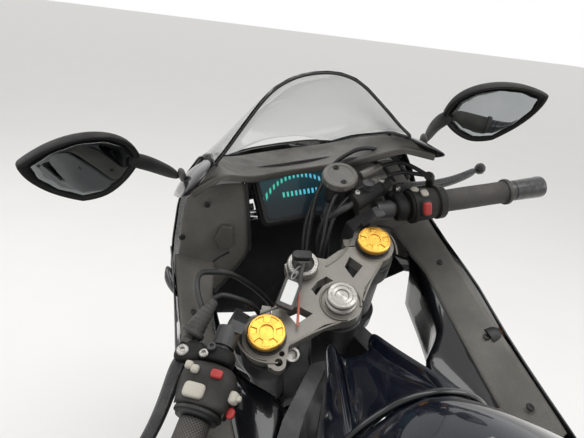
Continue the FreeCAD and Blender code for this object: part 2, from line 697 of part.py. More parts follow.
def frame(bike):
    """Twin spar frame: head tube, spars, pivot plates, fairing stay and stand bracket."""
    straight = steering_placement(0)
    head = Part.makeCylinder(HEAD_R, HEAD_TOP - HEAD_LOW)
    head.Placement = straight.multiply(FreeCAD.Placement(V(0, 0, HEAD_LOW), FreeCAD.Rotation()))
    bore = Part.makeCylinder(STEM_R + RUN_GAP, HEAD_TOP - HEAD_LOW + 2)
    bore.Placement = straight.multiply(FreeCAD.Placement(V(0, 0, HEAD_LOW - 1), FreeCAD.Rotation()))
    hanger = side_plate([(800, 640), (880, 660), (868, 560), (838, 540), (816, 560)], 134, 148)
    sides = both(spar()) + both(pivot_plate()) + both(hanger)
    cross = [rod((860, -138, 716), (860, 138, 716), SUBFRAME_R - 1)]
    cross += both(rod((860, 60, 716), (860, 60, 752.4), 8))
    cross.append(rod((STAY_X, -STAY_REACH, STAY_Z), (STAY_X, STAY_REACH, STAY_Z), STAY_R))
    arm = bent_pipe([(STAY_X, 186, STAY_Z), (STAY_X + 240, 192, 800), (STAY_X + 248, 150, 930),
                     (STAY_X + 248, 76.3, 930)], STAY_R - 0.7)
    cross += both(arm)
    solid = fused([head] + sides + cross + stand_bracket(bike))
    return solid.cut(bore).cut(rod((PIVOT[0], -200, PIVOT[1]), (PIVOT[0], 200, PIVOT[1]), 12))


def swingarm():
    """Box-section arms, cross beam, pivot tube and the rear axle."""
    axle_z = REAR_TYRE_R
    beam_x = REAR_TYRE_R + ARM_BEAM_GAP
    arm = loft([rect(548, ARM_IN, ARM_OUT, 350, 422), rect(400, ARM_IN, ARM_OUT, 336, 404),
                rect(120, ARM_IN + 4, ARM_OUT, axle_z - 12, axle_z + 38),
                rect(-52, ARM_IN + 4, ARM_OUT, axle_z - 22, axle_z + 22)])
    beam = block((beam_x, -ARM_OUT, 334), (beam_x + ARM_BEAM_LONG, ARM_OUT, ARM_BEAM_TOP))
    tube = rod((PIVOT[0], -ARM_OUT, PIVOT[1]), (PIVOT[0], ARM_OUT, PIVOT[1]), PIVOT_R)
    bolt = rod((PIVOT[0], -PLATE_OUT - 5, PIVOT[1]), (PIVOT[0], PLATE_OUT + 5, PIVOT[1]), 12 - SEAT_GAP)
    axle = rod((0, -ARM_OUT - 12, REAR_TYRE_R), (0, ARM_OUT + 12, REAR_TYRE_R), AXLE_R)
    spacers = [rod((0, CHAIN_Y + SPROCKET_T / 2 + 0.8, REAR_TYRE_R), (0, ARM_IN + 6, REAR_TYRE_R), 16),
               rod((0, -REAR_DISC_OUT - 0.8, REAR_TYRE_R), (0, -ARM_IN - 6, REAR_TYRE_R), 16)]
    return fused(both(arm) + [beam, tube, bolt, axle] + spacers)


def stand_bobbins():
    """Spools on the swingarm's ends for a rear paddock stand, bored through."""
    z = REAR_TYRE_R - 6
    start = ARM_OUT + SEAT_GAP
    stop = start + BOBBIN_LONG
    spool = fused([rod((BOBBIN_X, start, z), (BOBBIN_X, stop, z), 10),
                   rod((BOBBIN_X, start, z), (BOBBIN_X, start + 4, z), 14),
                   rod((BOBBIN_X, stop - 4, z), (BOBBIN_X, stop, z), 15)])
    return both(spool.cut(rod((BOBBIN_X, start - 1, z), (BOBBIN_X, stop + 1, z), BOBBIN_BORE)))


def engine():
    """Crankcase, inclined cylinders and round side covers, as one closed mass."""
    case = side_plate([(566, 300), (566, 470), (640, 520), (800, 500), (900, 430), (905, 310),
                       (840, 250), (640, 250)], -134, 134)
    block_top = side_plate([(730, 495), (870, 455), (968, 612), (930, 664), (820, 715), (760, 640)],
                           -120, 120)
    clutch = rod((690, -134, 385), (690, -168, 385), 88)
    generator = rod((800, 134, 370), (800, 164, 370), 80)
    sump = block((660, -70, 222), (800, 70, 252))
    solid = fused([case, block_top, clutch, generator, sump])
    pocket = block((540, 78, 332), (676, 150, 470))
    return solid.cut(pocket)


def drive_sprocket():
    """Front sprocket on its shaft, which the chain wraps."""
    low, high = CHAIN_Y - SPROCKET_T / 2, CHAIN_Y + SPROCKET_T / 2
    disc = rod((DRIVE_X, low, DRIVE_Z), (DRIVE_X, high, DRIVE_Z), DRIVE_R)
    shaft = rod((DRIVE_X, 78 + SEAT_GAP, DRIVE_Z), (DRIVE_X, high + 8, DRIVE_Z), 14)
    return disc.fuse(shaft)


def chain_points():
    """Pin centres round both sprockets, with the tangent runs between them."""
    rear_r = CHAIN_PITCH / (2 * math.sin(math.pi / SPROCKET_TEETH))
    front_r = CHAIN_PITCH / (2 * math.sin(math.pi / DRIVE_TEETH))
    dx, dz = DRIVE_X, DRIVE_Z - REAR_TYRE_R
    span = math.hypot(dx, dz)
    slope = math.atan2(dz, dx)
    cone_angle = math.asin((rear_r - front_r) / span)
    top = math.pi / 2 + slope - cone_angle
    low = -math.pi / 2 + slope + cone_angle
    run = math.sqrt(span ** 2 - (rear_r - front_r) ** 2)
    front_wrap = (math.pi - 2 * cone_angle) * front_r
    rear_wrap = (math.pi + 2 * cone_angle) * rear_r
    total = 2 * run + front_wrap + rear_wrap
    links = 2 * round(total / CHAIN_PITCH / 2)
    step = total / links
    points = []
    for i in range(links):
        s = i * step
        if s < run:
            base = (rear_r * math.cos(top), REAR_TYRE_R + rear_r * math.sin(top))
            heading = top - math.pi / 2
            points.append((base[0] + s * math.cos(heading), base[1] + s * math.sin(heading), heading))
            continue
        s -= run
        if s < front_wrap:
            a = top - s / front_r
            points.append((DRIVE_X + front_r * math.cos(a), DRIVE_Z + front_r * math.sin(a),
                           a - math.pi / 2))
            continue
        s -= front_wrap
        if s < run:
            base = (DRIVE_X + front_r * math.cos(low), DRIVE_Z + front_r * math.sin(low))
            heading = low - math.pi / 2
            points.append((base[0] + s * math.cos(heading), base[1] + s * math.sin(heading), heading))
            continue
        s -= run
        a = low - s / rear_r
        points.append((rear_r * math.cos(a), REAR_TYRE_R + rear_r * math.sin(a), a - math.pi / 2))
    return points


def chain_runs(pins):
    """The loop of pins in runs that turn little, each ending on the next one's first pin."""
    loop = pins + pins[:1]
    runs = [[loop[0]]]
    turned_by = 0.0
    for before, pin in zip(loop, loop[1:]):
        bend = abs(math.remainder(pin[2] - before[2], 2 * math.pi))
        if turned_by + bend > CHAIN_RUN_TURN:
            runs.append([before])
            turned_by = 0.0
        turned_by += bend
        runs[-1].append(pin)
    return runs


def chain():
    """Side plates in short runs round the loop, with rollers on the free runs."""
    pins = chain_points()
    half_h = 6.5
    solids = []
    for run in chain_runs(pins):
        outer = [(x - half_h * math.sin(t), z + half_h * math.cos(t)) for x, z, t in run]
        inner = [(x + half_h * math.sin(t), z - half_h * math.cos(t)) for x, z, t in reversed(run)]
        for low, high in ((CHAIN_Y - 8.5, CHAIN_Y - 6.5), (CHAIN_Y + 6.5, CHAIN_Y + 8.5)):
            solids.append(side_plate(outer + inner, low, high))
    rear_clear = CHAIN_PITCH / (2 * math.sin(math.pi / SPROCKET_TEETH)) + 13
    for x, z, t in pins:
        if math.hypot(x, z - REAR_TYRE_R) < rear_clear:
            continue
        corner = [(x + 5 * math.cos(t + k * math.pi / 2), z + 5 * math.sin(t + k * math.pi / 2))
                  for k in range(4)]
        solids.append(side_plate(corner, CHAIN_Y - 6.5 + SEAT_GAP, CHAIN_Y + 6.5 - SEAT_GAP))
    return solids


def radiator():
    core = side_plate([(1034, 440), (1066, 452), (1056, 640), (1024, 630)], -150, 150)
    tank = side_plate([(1030, 436), (1070, 450), (1060, 644), (1020, 632)], 150 + SEAT_GAP, 172)
    post = block((1030, 60, 630), (1044, 76, 687))
    return [fused([core] + both(post))] + both(tank)


def exhaust():
    """Two headers, the collector box and the short side silencer."""
    headers = []
    for y in (52, -52):
        headers.append(bent_pipe([(926.6, y, 544.8), (966, y, 520), (975, y, 380), (930, y * 0.8, 262),
                                  (840, y * 0.55, 205), (760, y * 0.5, 190)], 19))
    box_body = loft([rect(780, -60, 60, 158, 216), rect(720, -96, 90, 150, 216),
                     rect(560, -100, 90, 150, 220), rect(520, -96, 60, 165, 215)])
    link = bent_pipe([(560, -72, 190), (510, -110, 194), (466, -176, 236), (440, -SILENCER_Y, 262),
                      (408 + SEAT_GAP, -SILENCER_Y, 262)], 24)
    return fused(headers + [box_body, link])


def silencer():
    y = -SILENCER_Y
    can = loft([octagon(408, y, 262, 36, 40), octagon(360, y, 280, 48, 58), octagon(120, y, 330, 48, 60),
                octagon(70, y, 340, 36, 46)])
    outlet = rod((80, y, 338), (40, y, 342), 24)
    return can.fuse(outlet).cut(rod((90, y, 337), (30, y, 343), 20))


def octagon(x, y, z, half_w, half_h):
    cut = 0.42
    return [(x, y + half_w * a, z + half_h * b) for a, b in
            ((1, -1 + cut), (1, 1 - cut), (1 - cut, 1), (-1 + cut, 1), (-1, 1 - cut), (-1, -1 + cut),
             (-1 + cut, -1), (1 - cut, -1))]


def dome(x, wb, zb, ws, zs, wt, zt, top):
    """Closed section at x: flat base, bowed sides and an arched top."""
    p = [V(x, -wb, zb), V(x, wb, zb), V(x, wt, zt), V(x, -wt, zt)]
    edges = [Part.LineSegment(p[0], p[1]).toShape(),
             Part.Arc(p[1], V(x, ws, zs), p[2]).toShape(),
             Part.Arc(p[2], V(x, 0, top), p[3]).toShape(),
             Part.Arc(p[3], V(x, -ws, zs), p[0]).toShape()]
    return Part.Wire(edges)


def fuel_tank():
    """Metal tank with the raised filler ring and its neck."""
    body = arched_loft([dome(TANK_FRONT, 90, 756, 122, 815, 74, 866, 928),
                        dome(800, 118, 748, 166, 830, 104, 908, 956),
                        dome(712, 108, 746, 150, 818, 92, 888, 940),
                        dome(642, 62, 752, 92, 790, 58, 828, 850)])
    boss = rod((CAP_X, 0, CAP_Z - BOSS_DEEP), (CAP_X, 0, CAP_Z), CAP_R + 6)
    ears = block((CAP_X + CAP_R + 4, -16, CAP_Z - 12), (CAP_X + CAP_R + 16, 16, CAP_Z + 6))
    ears = ears.cut(block((CAP_X + CAP_R - 4, -11, CAP_Z - 3), (CAP_X + CAP_R + 20, 11, CAP_Z + 10)))
    neck = rod((CAP_X, 0, CAP_Z - NECK_DEEP), (CAP_X, 0, CAP_Z + 1), 24)
    return fused([body, boss, ears]).cut(neck)


def filler_cap():
    """Lid with its hinge knuckle at the front."""
    lid = rod((CAP_X, 0, CAP_Z + SEAT_GAP), (CAP_X, 0, CAP_Z + 7), CAP_R)
    axis_x, axis_z = CAP_X + CAP_R + 10, CAP_Z + 3
    tongue = block((CAP_X + CAP_R - 6, -9, CAP_Z + SEAT_GAP), (axis_x, 9, CAP_Z + 6))
    knuckle = rod((axis_x, -9, axis_z), (axis_x, 9, axis_z), 4.5)
    flap = block((CAP_X - 30, -9, CAP_Z + 7), (CAP_X + 6, 9, CAP_Z + 10))
    return fused([lid, tongue, knuckle, flap])


def tank_cover():
    """Front tank shroud: two ridged horns with a hollowed deck between them."""
    back = TANK_FRONT + SEAT_GAP
    horn = loft([[(back, 54, 888), (back, 70, 884), (back, 112, 820), (back, 100, 770), (back, 54, 770)],
                 [(960, 38, 856), (960, 50, 872), (960, 84, 808), (960, 74, 770), (960, 38, 770)],
                 [(1010, 26, 838), (1010, 37, 857), (1010, 54, 815), (1010, 46, 790), (1010, 26, 790)],
                 [(1062, 20, 834), (1062, 28, 845), (1062, 34, 830), (1062, 30, 822), (1062, 20, 824)]])
    trough = loft([[(back, -56, 780), (back, 56, 780), (back, 56, 888), (back, 0, 904), (back, -56, 888)],
                   [(960, -40, 778), (960, 40, 778), (960, 40, 854), (960, 0, 850), (960, -40, 854)],
                   [(1008, -28, 798), (1008, 28, 798), (1008, 28, 836), (1008, 0, 828), (1008, -28, 836)]])
    return fused(both(horn) + [trough])


def seat_section(x, half, low, high, crown):
    return dome(x, half - 10, low, half, (low + high) / 2, half - 22, high, high + crown)


def rider_seat():
    low = SUBFRAME_Z + SUBFRAME_R + SEAT_GAP
    return arched_loft([seat_section(636, 62, low, 806, 8), seat_section(560, 88, low, 798, 6),
                        seat_section(430, 124, low, 794, 6), seat_section(330, 128, low, 806, 6),
                        seat_section(256, 112, low, 838, 8)])


def pillion_seat():
    gap = SEAT_GAP + 0.3
    rows = [(246, 78, 858, 26), (150, 84, 876, 28), (60, 78, 892, 30), (-36, 64, 908, 18)]
    return loft([[(x, -w, z + gap), (x, w, z + gap), (x, w + 4, z + h * 0.6), (x, w - 16, z + h),
                  (x, -w + 16, z + h), (x, -w - 4, z + h * 0.6)] for x, w, z, h in rows])


def tail_cowl():
    """Tail shell, open below, and the side panels under the rider's seat."""
    rows = [(246, 118, 742, 96, 830, 80, 858), (150, 112, 762, 98, 846, 86, 876),
            (60, 100, 790, 90, 860, 80, 892), (-36, 84, 826, 76, 880, 66, 908),
            (-150, 62, 862, 58, 896, 48, 916), (-226, 40, 884, 38, 900, 30, 914)]
    outlines = []
    for x, w0, z0, w1, z1, w2, z2 in rows:                   # skirt, shoulder and top, half width and height
        outer = [(x, w0, z0), (x, w1, z1), (x, w2, z2), (x, -w2, z2), (x, -w1, z1), (x, -w0, z0)]
        inner = [(x, -w0 + SKIN, z0), (x, -w1 + SKIN, z1 - 1), (x, -w2 + 2, z2 - SKIN),
                 (x, w2 - 2, z2 - SKIN), (x, w1 - SKIN, z1 - 1), (x, w0 - SKIN, z0)]
        outlines.append(outer + inner)
    shell = loft(outlines, 6)
    side = loft([[(242, 115, 742), (242, 118, 742), (242, 122, 700), (242, 119, 700)],
                 [(420, 126, 742), (420, 129, 742), (420, 136, 672), (420, 133, 672)],
                 [(600, 150, 700), (600, 153, 700), (600, 160, 640), (600, 157, 640)]])
    wall = loft([[(243, -90, 752), (246, -90, 752), (246, 90, 752), (243, 90, 752)],
                 [(243, -78, 854), (246, -78, 854), (246, 78, 854), (243, 78, 854)]])
    return [shell.fuse(wall)] + both(side)


def rear_fender():
    """Under-tail, plate bracket and blank plate."""
    rows = [(292, 76, 694, 729.7), (230, 76, 700, 729.7), (80, 70, 722, 752), (-60, 62, 772, 800),
            (-200, 46, 838, 860)]
    tray = loft([rect(x, -w, w, z0, z1) for x, w, z0, z1 in rows])
    arm = side_plate([(-120, 790), (-190, 836), (-318, 640), (-290, 632)], -28, 28)
    plate = side_plate([(-300, 598), (-294, 600), (-352, 742), (-358, 740)], -90, 90)
    return [fused([tray, arm]), shifted(plate, (-8.4, 0, 0))]


def tail_lamp():
    return loft([rect(-226.3, -36.5, 36.5, 885, 911), rect(-244, -24, 24, 887, 903)])


def indicators():
    """Stalk indicators beside the plate and lens pods on the cowl."""
    rear = fused([rod((-250, 28.3, 728), (-250, 90, 728), 6),
                  loft([rect(-230, 78, 128, 716, 742), rect(-276, 84, 118, 720, 738)])])
    return both(rear)


def cowl_section(x, rows):
    """Thin wall at x from (y, z) rows, offset inwards by the skin."""
    outer = [(x, y, z) for y, z in rows]
    inner = [(x, y - SKIN, z) for y, z in reversed(rows)]
    return outer + inner


COWL_ROWS = {                                                # y of the side cowl at each height, by station
    600: (176, 196, 194, 186, 172),
    800: (178, 204, 204, 196, 180),
    960: (184, 218, 212, 202, 182),
    1120 + AHEAD: (206, 236, 226, 208, 184),
    1290 + AHEAD: (214, 226, 206, 182, 160),
}
COWL_HEIGHTS = (900, 760, 600, 430, 240)


def side_cowl():
    """Left side cowl: bowed skin trimmed to its outline, with two vents."""
    skin = loft([cowl_section(x, list(zip(ys, COWL_HEIGHTS))) for x, ys in sorted(COWL_ROWS.items())], 5)
    low = 239 + SEAT_GAP
    outline = [(1286 + AHEAD, 896), (1240 + AHEAD, 878), (1150 + AHEAD, 846),
               (1030 + 0.5 * AHEAD, 800), (900, 768), (800, 716), (690, 640),
               (640, 520), (624, 400), (650, 290), (700, low), (900, low),
               (990, 300), (1046, 420), (1084, 540),
               (1150 + AHEAD, 620), (1240 + AHEAD, 690), (1286 + AHEAD, 740)]
    trim = side_plate(outline, 100, 300)
    vents = [side_plate([(1010, 700), (1090, 690), (1050, 610), (960, 560), (930, 600)], 100, 300),
             side_plate([(870, 560), (930, 540), (900, 440), (810, 410), (800, 470)], 100, 300)]
    return skin.common(trim).cut(group(vents))


def belly_pan():
    """Lower cowl under the engine, open above."""
    rows = [(990, 189, 299, 90, 262, 252), (900, 181, 239, 112, 150, 130), (760, 178, 239, 114, 132, 116),
            (600, 172, 239, 108, 128, 116)]
    outlines = []
    for x, w0, z0, w1, z1, z2 in rows:                       # rim, chine and keel
        outer = [(x, w0, z0), (x, w1, z1), (x, 0, z2), (x, -w1, z1), (x, -w0, z0)]
        inner = [(x, -w0 + SKIN, z0), (x, -w1 + SKIN, z1 + SKIN), (x, 0, z2 + SKIN),
                 (x, w1 - SKIN, z1 + SKIN), (x, w0 - SKIN, z0)]
        outlines.append(outer + inner)
    return loft(outlines, 5)


def upper_cowl():
    """Nose and flanks from the bars' cut-out to the lamps, with ears to the rear."""
    rows = {                                                 # by station: flank foot, shoulder, deck edge
        1286.3: ((226, 742), (218, 860), (150, 1030)),
        1380: ((206, 700), (204, 850), (126, 1004)),
        1470: ((164, 700), (160, 830), (84, 958)),
        1540: ((96, 760), (94, 830), (44, 892)),
    }
    flank = loft([[(x, y, z) for y, z in pts] + [(x, y - SKIN, z - 1) for y, z in reversed(pts)]
                  for x, pts in sorted(rows.items())], 3)
    deck = loft([[(1436, -100, 978), (1436, 100, 978), (1436, 98, 974), (1436, -98, 974)],
                 [(1470, -84, 958), (1470, 84, 958), (1470, 82, 954), (1470, -82, 954)],
                 [(1540, -44, 892), (1540, 44, 892), (1540, 42, 888), (1540, -42, 888)],
                 [(1572, -14, 846), (1572, 14, 846), (1572, 12, 843), (1572, -12, 843)]])
    mask = loft([[(1538, -96, 832), (1538, 96, 832), (1538, 44, 892), (1538, -44, 892)],
                 [(1542, -96, 832), (1542, 96, 832), (1542, 44, 892), (1542, -44, 892)]])
    return flank, deck, mask


def ear():
    """Rear ear of the upper cowl, beside the screen, which carries the mirror."""
    return loft([[(1166, 176, 1026), (1168, 180, 1026), (1168, 174, 1032), (1166, 171, 1031)],
                 [(1192, 168, 1018), (1192, 186, 1012), (1192, 168, 1040), (1192, 132, 1052)],
                 [(1240, 160, 1018), (1240, 196, 1000), (1240, 172, 1034), (1240, 132, 1046)],
                 [(1292, 149, 1022), (1292, 179, 958), (1292, 184, 960), (1292, 152, 1029)]])


def windscreen():
    """Clear bell-shaped bubble on the deck's edge."""
    stations = [(1184, 133, 1054, 1152), (1240, 132.8, 1046.4, 1132), (1292, 148, 1030.4, 1106),
                (1380, 124, 1004.4, 1050), (1436, 98, 978.4, 1000)]
    outlines = []
    for x, half, low, top in stations:                       # half width and heights of foot and crest
        rows = []
        for reach, rise in ((half, top - low), (half - SKIN, top - low - SKIN)):
            left = [(x, reach * out, low + rise * up) for out, up in SCREEN_BELL]
            rows.append(left[:-1] + [(x, -y, z) for x, y, z in left[::-1]])
        outlines.append(rows[0] + rows[1][::-1])
    return loft(outlines, 2 * len(SCREEN_BELL) - 1)


def headlamps():
    """Two slanted lenses under the nose mask."""
    lens = loft([[(1440, 40, 762), (1440, 171.4, 775), (1440, 171.4, 815), (1440, 40, 806)],
                 [(1530, 30, 775), (1530, 100.2, 800), (1530, 100.2, 824), (1530, 30, 815)]])
    return both(lens)


def dash():
    """Display housing behind the screen, tilted to the rider."""
    body = side_plate([(1286, 900), (1300, 896), (1342, 984), (1326, 990)], -76, 76)
    panel = side_plate([(1281, 902), (1285.7, 900), (1325.7, 990), (1321, 992)], -70, 70)
    return body.fuse(panel)


def inner_cowl():
    """Textured inner panels from the dash down beside the tank."""
    front, bend = 1276 + AHEAD, 1180 + AHEAD
    wing = loft([[(front, 150, 860), (front, 211.2, 884), (front, 211.2, 880), (front, 150, 856)],
                 [(bend, 172, 822), (bend, 209.8, 850), (bend, 209.8, 846), (bend, 172, 818)],
                 [(1050, 166, 778), (1050, 213.5, 802), (1050, 213.5, 798), (1050, 166, 774)],
                 [(910, 158, 742), (910, 209.4, 764), (910, 209.4, 760), (910, 158, 738)]])
    return both(wing)


def mirror_outline(scale):
    points = [(0, 4), (14, 26), (44, 38), (84, 36), (122, 20), (148, -2), (140, -22), (110, -50), (70, -68),
              (36, -66), (10, -36), (0, -12)]
    centre = (68, -14)
    return [(centre[0] + (u - centre[0]) * scale, centre[1] + (v - centre[1]) * scale) for u, v in points]


def on_mirror(u, v, out):
    across = vec(MIRROR_U).normalize()
    normal = vec(MIRROR_N)
    normal = (normal - across * normal.dot(across)).normalize()
    up = across.cross(normal)
    p = vec(MIRROR_NECK) + across * u + up * v + normal * out
    return (p.x, p.y, p.z)


def mirror_arm():
    """Leaf-shaped housing and its stalk from the ear."""
    head = loft([[on_mirror(u, v, 0) for u, v in mirror_outline(1.0)],
                 [on_mirror(u, v, -14) for u, v in mirror_outline(0.96)],
                 [on_mirror(u, v, -30) for u, v in mirror_outline(0.6)]])
    stalk = loft([[(1214, 178, 1026), (1240, 182, 1022), (1240, 182, 1036), (1214, 178, 1040)],
                  [(1256, 226, 1030), (1282, 222, 1030), (1284, 226, 1054), (1260, 230, 1056)],
                  [(1256, 250, 1040), (1276, 250, 1040), (1276, 250, 1062), (1256, 250, 1062)]])
    return head.fuse(stalk).cut(loft([[on_mirror(u, v, -4) for u, v in mirror_outline(0.9)],
                                      [on_mirror(u, v, 1) for u, v in mirror_outline(0.9)]]))


def mirror_glass():
    return loft([[on_mirror(u, v, -4 + SEAT_GAP) for u, v in mirror_outline(0.89)],
                 [on_mirror(u, v, -1) for u, v in mirror_outline(0.89)]])


def rearset(side):
    """Footrest plate, peg and pedal."""
    plate = side_plate([(560, 470), (590, 380), (540, 330), (440, 340), (430, 372), (500, 420)],
                       PLATE_OUT + 5 + SEAT_GAP, PLATE_OUT + 13)
    peg = rod((452, PLATE_OUT + 10, 352), (440, PLATE_OUT + 96, 356), 11)
    blade = side_plate([(536, 340), (548, 352), (640, 316), (636, 302)],
                       PLATE_OUT + 14, PLATE_OUT + 22)
    pedal = fused([blade, rod((636, PLATE_OUT + 14, 309), (636, PLATE_OUT + 62, 309), 7)])
    pivot = rod((542, PLATE_OUT + 10, 346), (542, PLATE_OUT + 22, 346), 9)
    solid = fused([plate, peg, pedal, pivot])
    return solid if side > 0 else mirrored(solid)


def rear_shock():
    """Damper with its ribbed spring, from the cross beam to the frame."""
    low = V(388, 0, ARM_BEAM_TOP + SHOCK_EYE_R + SEAT_GAP)
    high = V(500, 0, SUBFRAME_Z - SUBFRAME_R + 1 - SHOCK_EYE_R - SEAT_GAP)
    along = (high - low).normalize()
    length = (high - low).Length
    coils = 7
    pitch = (length - 110) / coils
    body = [rod((0, 0, 0), (0, 0, length), 9), rod((0, 0, length - 90), (0, 0, length - 10), 21)]
    for i in range(coils + 1):
        z = 24 + i * pitch
        body.append(rod((0, 0, z), (0, 0, z + 9), 32))
    body = fused(body)
    body.Placement = FreeCAD.Placement(low, FreeCAD.Rotation(V(0, 0, 1), along))
    eyes = [rod((p.x, -14, p.z), (p.x, 14, p.z), SHOCK_EYE_R) for p in (low, high)]
    return fused([body] + eyes)


def rear_brake():
    """Caliper over the rear disc, on its bracket."""
    disc_low, disc_high = -REAR_DISC_OUT - 3.5, -REAR_DISC_OUT + DISC_T + 4
    caliper = side_plate([(14, 72), (24, 120), (84, 112), (100, 76), (66, 48)], -107, -72)
    caliper = caliper.cut(block((-20, disc_low, -12), (140, disc_high, 113)).common(
        rod((0, -120, 0), (0, -60, 0), REAR_DISC_R + 5)))
    bracket = side_plate([(18, 12), (60, 10), (70, 60), (24, 80)], -ARM_IN - 4 + SEAT_GAP, -98)
    return shifted(caliper.fuse(bracket), (0, 0, REAR_TYRE_R))


def chain_guard():
    guard = side_plate([(420, 446), (80, 452), (60, 458), (60, 462), (84, 458), (420, 452)], 87, 118)
    stay = side_plate([(360, 396.9), (380, 400.7), (384, 450), (356, 450)], 112, 116)
    return guard.fuse(stay)


# Side stand, drawn in the row frame on the floor

def stand_line(bike):
    """Pivot, foot and pivot axis of the stand, in the row frame."""
    pivot = bike.multVec(vec(STAND_PIVOT))
    foot = V(pivot.x, pivot.y + STAND_FOOT_OUT, 0)
    leg = (foot - pivot).normalize()
    return pivot, foot, V(0, -leg.z, leg.y)


def side_stand(pivot, foot, axis):
    """Eye on the pivot pin, tubular leg and foot pad."""
    leg = Part.makeCylinder(STAND_R, (pivot - foot).Length - STAND_R, foot + V(0, 0, STAND_R), pivot - foot)
    pad = rod((foot.x, foot.y, 0), (foot.x, foot.y, 6), 26)
    heel = rod((foot.x, foot.y, 5), (foot.x, foot.y, 16), 15)
    eye = Part.makeCylinder(STAND_R + 5, 2 * STAND_EYE, pivot - axis * STAND_EYE, axis)
    pin = Part.makeCylinder(STAND_PIN_R + RUN_GAP, 60, pivot - axis * 30, axis)
    return fused([leg, pad, heel, eye]).cut(pin)


def stand_bracket(bike):
    """Frame lug under the left pivot plate with the stand's pin, in the bike frame."""
    pivot, _, axis = stand_line(bike)
    back = bike.inverse()
    pivot = back.multVec(pivot)
    axis = back.Rotation.multVec(axis)
    inner = STAND_EYE + RUN_GAP
    boss = Part.makeCylinder(STAND_R + 5, 20, pivot - axis * (inner + 20), axis)
    pin = Part.makeCylinder(STAND_PIN_R, inner + STAND_EYE + 6, pivot - axis * inner, axis)
    web = side_plate([(520, 345), (560, 345), (570, 262), (552, 240), (534, 262)], PLATE_IN, PLATE_IN + 9)
    return [boss, pin, web]


# Stance: lean, pitch and height that put both tyres on the floor

def lowest_point(placement, centre, axle, radius, crown):
    """Height of a leaned tyre's lowest point above the floor."""
    c = placement.multVec(centre)
    n = placement.Rotation.multVec(axle)
    upright = math.sqrt(1 - n.z ** 2)
    return min(c.z + y * n.z - r * upright for r, y in crown_profile(radius, crown))


def stance():
    """Placement of the parked bike, with both tyres touching the floor."""
    lean = FreeCAD.Rotation(V(1, 0, 0), -LEAN)
    steer = steering_placement(STEER_STOP)
    front_centre = steer.multVec(V(AXLE_X, 0, AXLE_Z))
    front_axle = steer.Rotation.multVec(V(0, 1, 0))
    rear_centre = V(0, 0, REAR_TYRE_R)
    low, high = -6.0, 6.0
    for _ in range(60):
        pitch = (low + high) / 2
        place = FreeCAD.Placement(V(0, 0, 0), lean.multiply(FreeCAD.Rotation(V(0, 1, 0), pitch)))
        front = lowest_point(place, front_centre, front_axle, FRONT_TYRE_R, FRONT_CROWN_R)
        rear = lowest_point(place, rear_centre, V(0, 1, 0), REAR_TYRE_R, REAR_CROWN_R)
        if front > rear:
            low = pitch
        else:
            high = pitch
    return FreeCAD.Placement(V(0, 0, -rear), place.Rotation)


def placed(shape, placement):
    moved = shape.copy()
    moved.Placement = placement.multiply(moved.Placement)
    return moved


def wheel_pieces():
    """Nodes of both wheels, each round its own axle."""
    front = {
        "front_tyre": [tyre(FRONT_TYRE_R, FRONT_CROWN_R, FRONT_BEAD_HALF)],
        "front_rim": [rim(FRONT_BEAD_HALF, 34, -FRONT_DISC_Y + SEAT_GAP, FRONT_DISC_Y - SEAT_GAP)],
        "front_discs": both(brake_disc(FRONT_DISC_R, 30, 26, FRONT_DISC_Y, 12)),
    }
    rear = {
        "rear_tyre": [tyre(REAR_TYRE_R, REAR_CROWN_R, REAR_BEAD_HALF)],
        "rear_rim": [rim(REAR_BEAD_HALF, 46, -REAR_DISC_OUT + DISC_T + SEAT_GAP,
                         CHAIN_Y - SPROCKET_T / 2 - SEAT_GAP)],
        "rear_disc": [brake_disc(REAR_DISC_R, 28, 24, -REAR_DISC_OUT, 10)],
        "rear_sprocket": [sprocket()],
    }
    return front, rear


def steering_pieces():
    return {
        "upper_yoke": [upper_yoke()],
        "lower_yoke": [lower_yoke()],
        "fork_tubes": left_right(fork_tube),
        "fork_legs": [fork_legs()],
        "fork_caps": left_right(fork_cap),
        "stem_nut": [stem_nut()],
        "ignition_switch": [ignition_switch()],
        "ignition_key": [ignition_key()],
        "clip_ons": left_right(clip_on),
        "grips": left_right(grip),
        "bar_ends": left_right(bar_end),
        "switch_pods": left_right(switch_pod),
        "levers": left_right(lever),
        "brake_reservoir": [brake_reservoir()],
        "hoses": hoses(),
        "front_fender": [fork_fender()],
        "front_calipers": left_right(front_caliper),
    }


def with_steering(shapes):
    """Pieces of the nose, carried along as the steering axis moves."""
    return [shifted(shape, (AHEAD, 0, 0)) for shape in shapes]


def chassis_pieces(bike):
    flank, deck, mask = upper_cowl()
    return {
        "frame": [frame(bike)],
        "subframe": [subframe()],
        "swingarm": [swingarm()],
        "stand_bobbins": stand_bobbins(),
        "engine": [engine()],
        "drive_sprocket": [drive_sprocket()],
        "chain": chain(),
        "chain_guard": [chain_guard()],
        "radiator": radiator(),
        "exhaust": [exhaust()],
        "silencer": [silencer()],
        "rear_shock": [rear_shock()],
        "rear_brake": [rear_brake()],
        "fuel_tank": [fuel_tank()],
        "tank_cover": [tank_cover()],
        "rider_seat": [rider_seat()],
        "pillion_seat": [pillion_seat()],
        "tail_cowl": tail_cowl(),
        "rear_fender": rear_fender(),
        "rear_lamps": [tail_lamp()] + indicators(),
        "side_cowls": both(side_cowl()),
        "belly_pan": [belly_pan()],
        "upper_cowl": with_steering([fused(both(flank) + [deck, mask] + both(ear()))]),
        "headlamps": with_steering(headlamps()),
        "windscreen": with_steering([windscreen()]),
        "dash": with_steering([dash()]),
        "inner_cowl": inner_cowl(),
        "mirrors": with_steering(both(mirror_arm())),
        "mirror_glass": with_steering(both(mirror_glass())),
        "rearsets": left_right(rearset),
    }


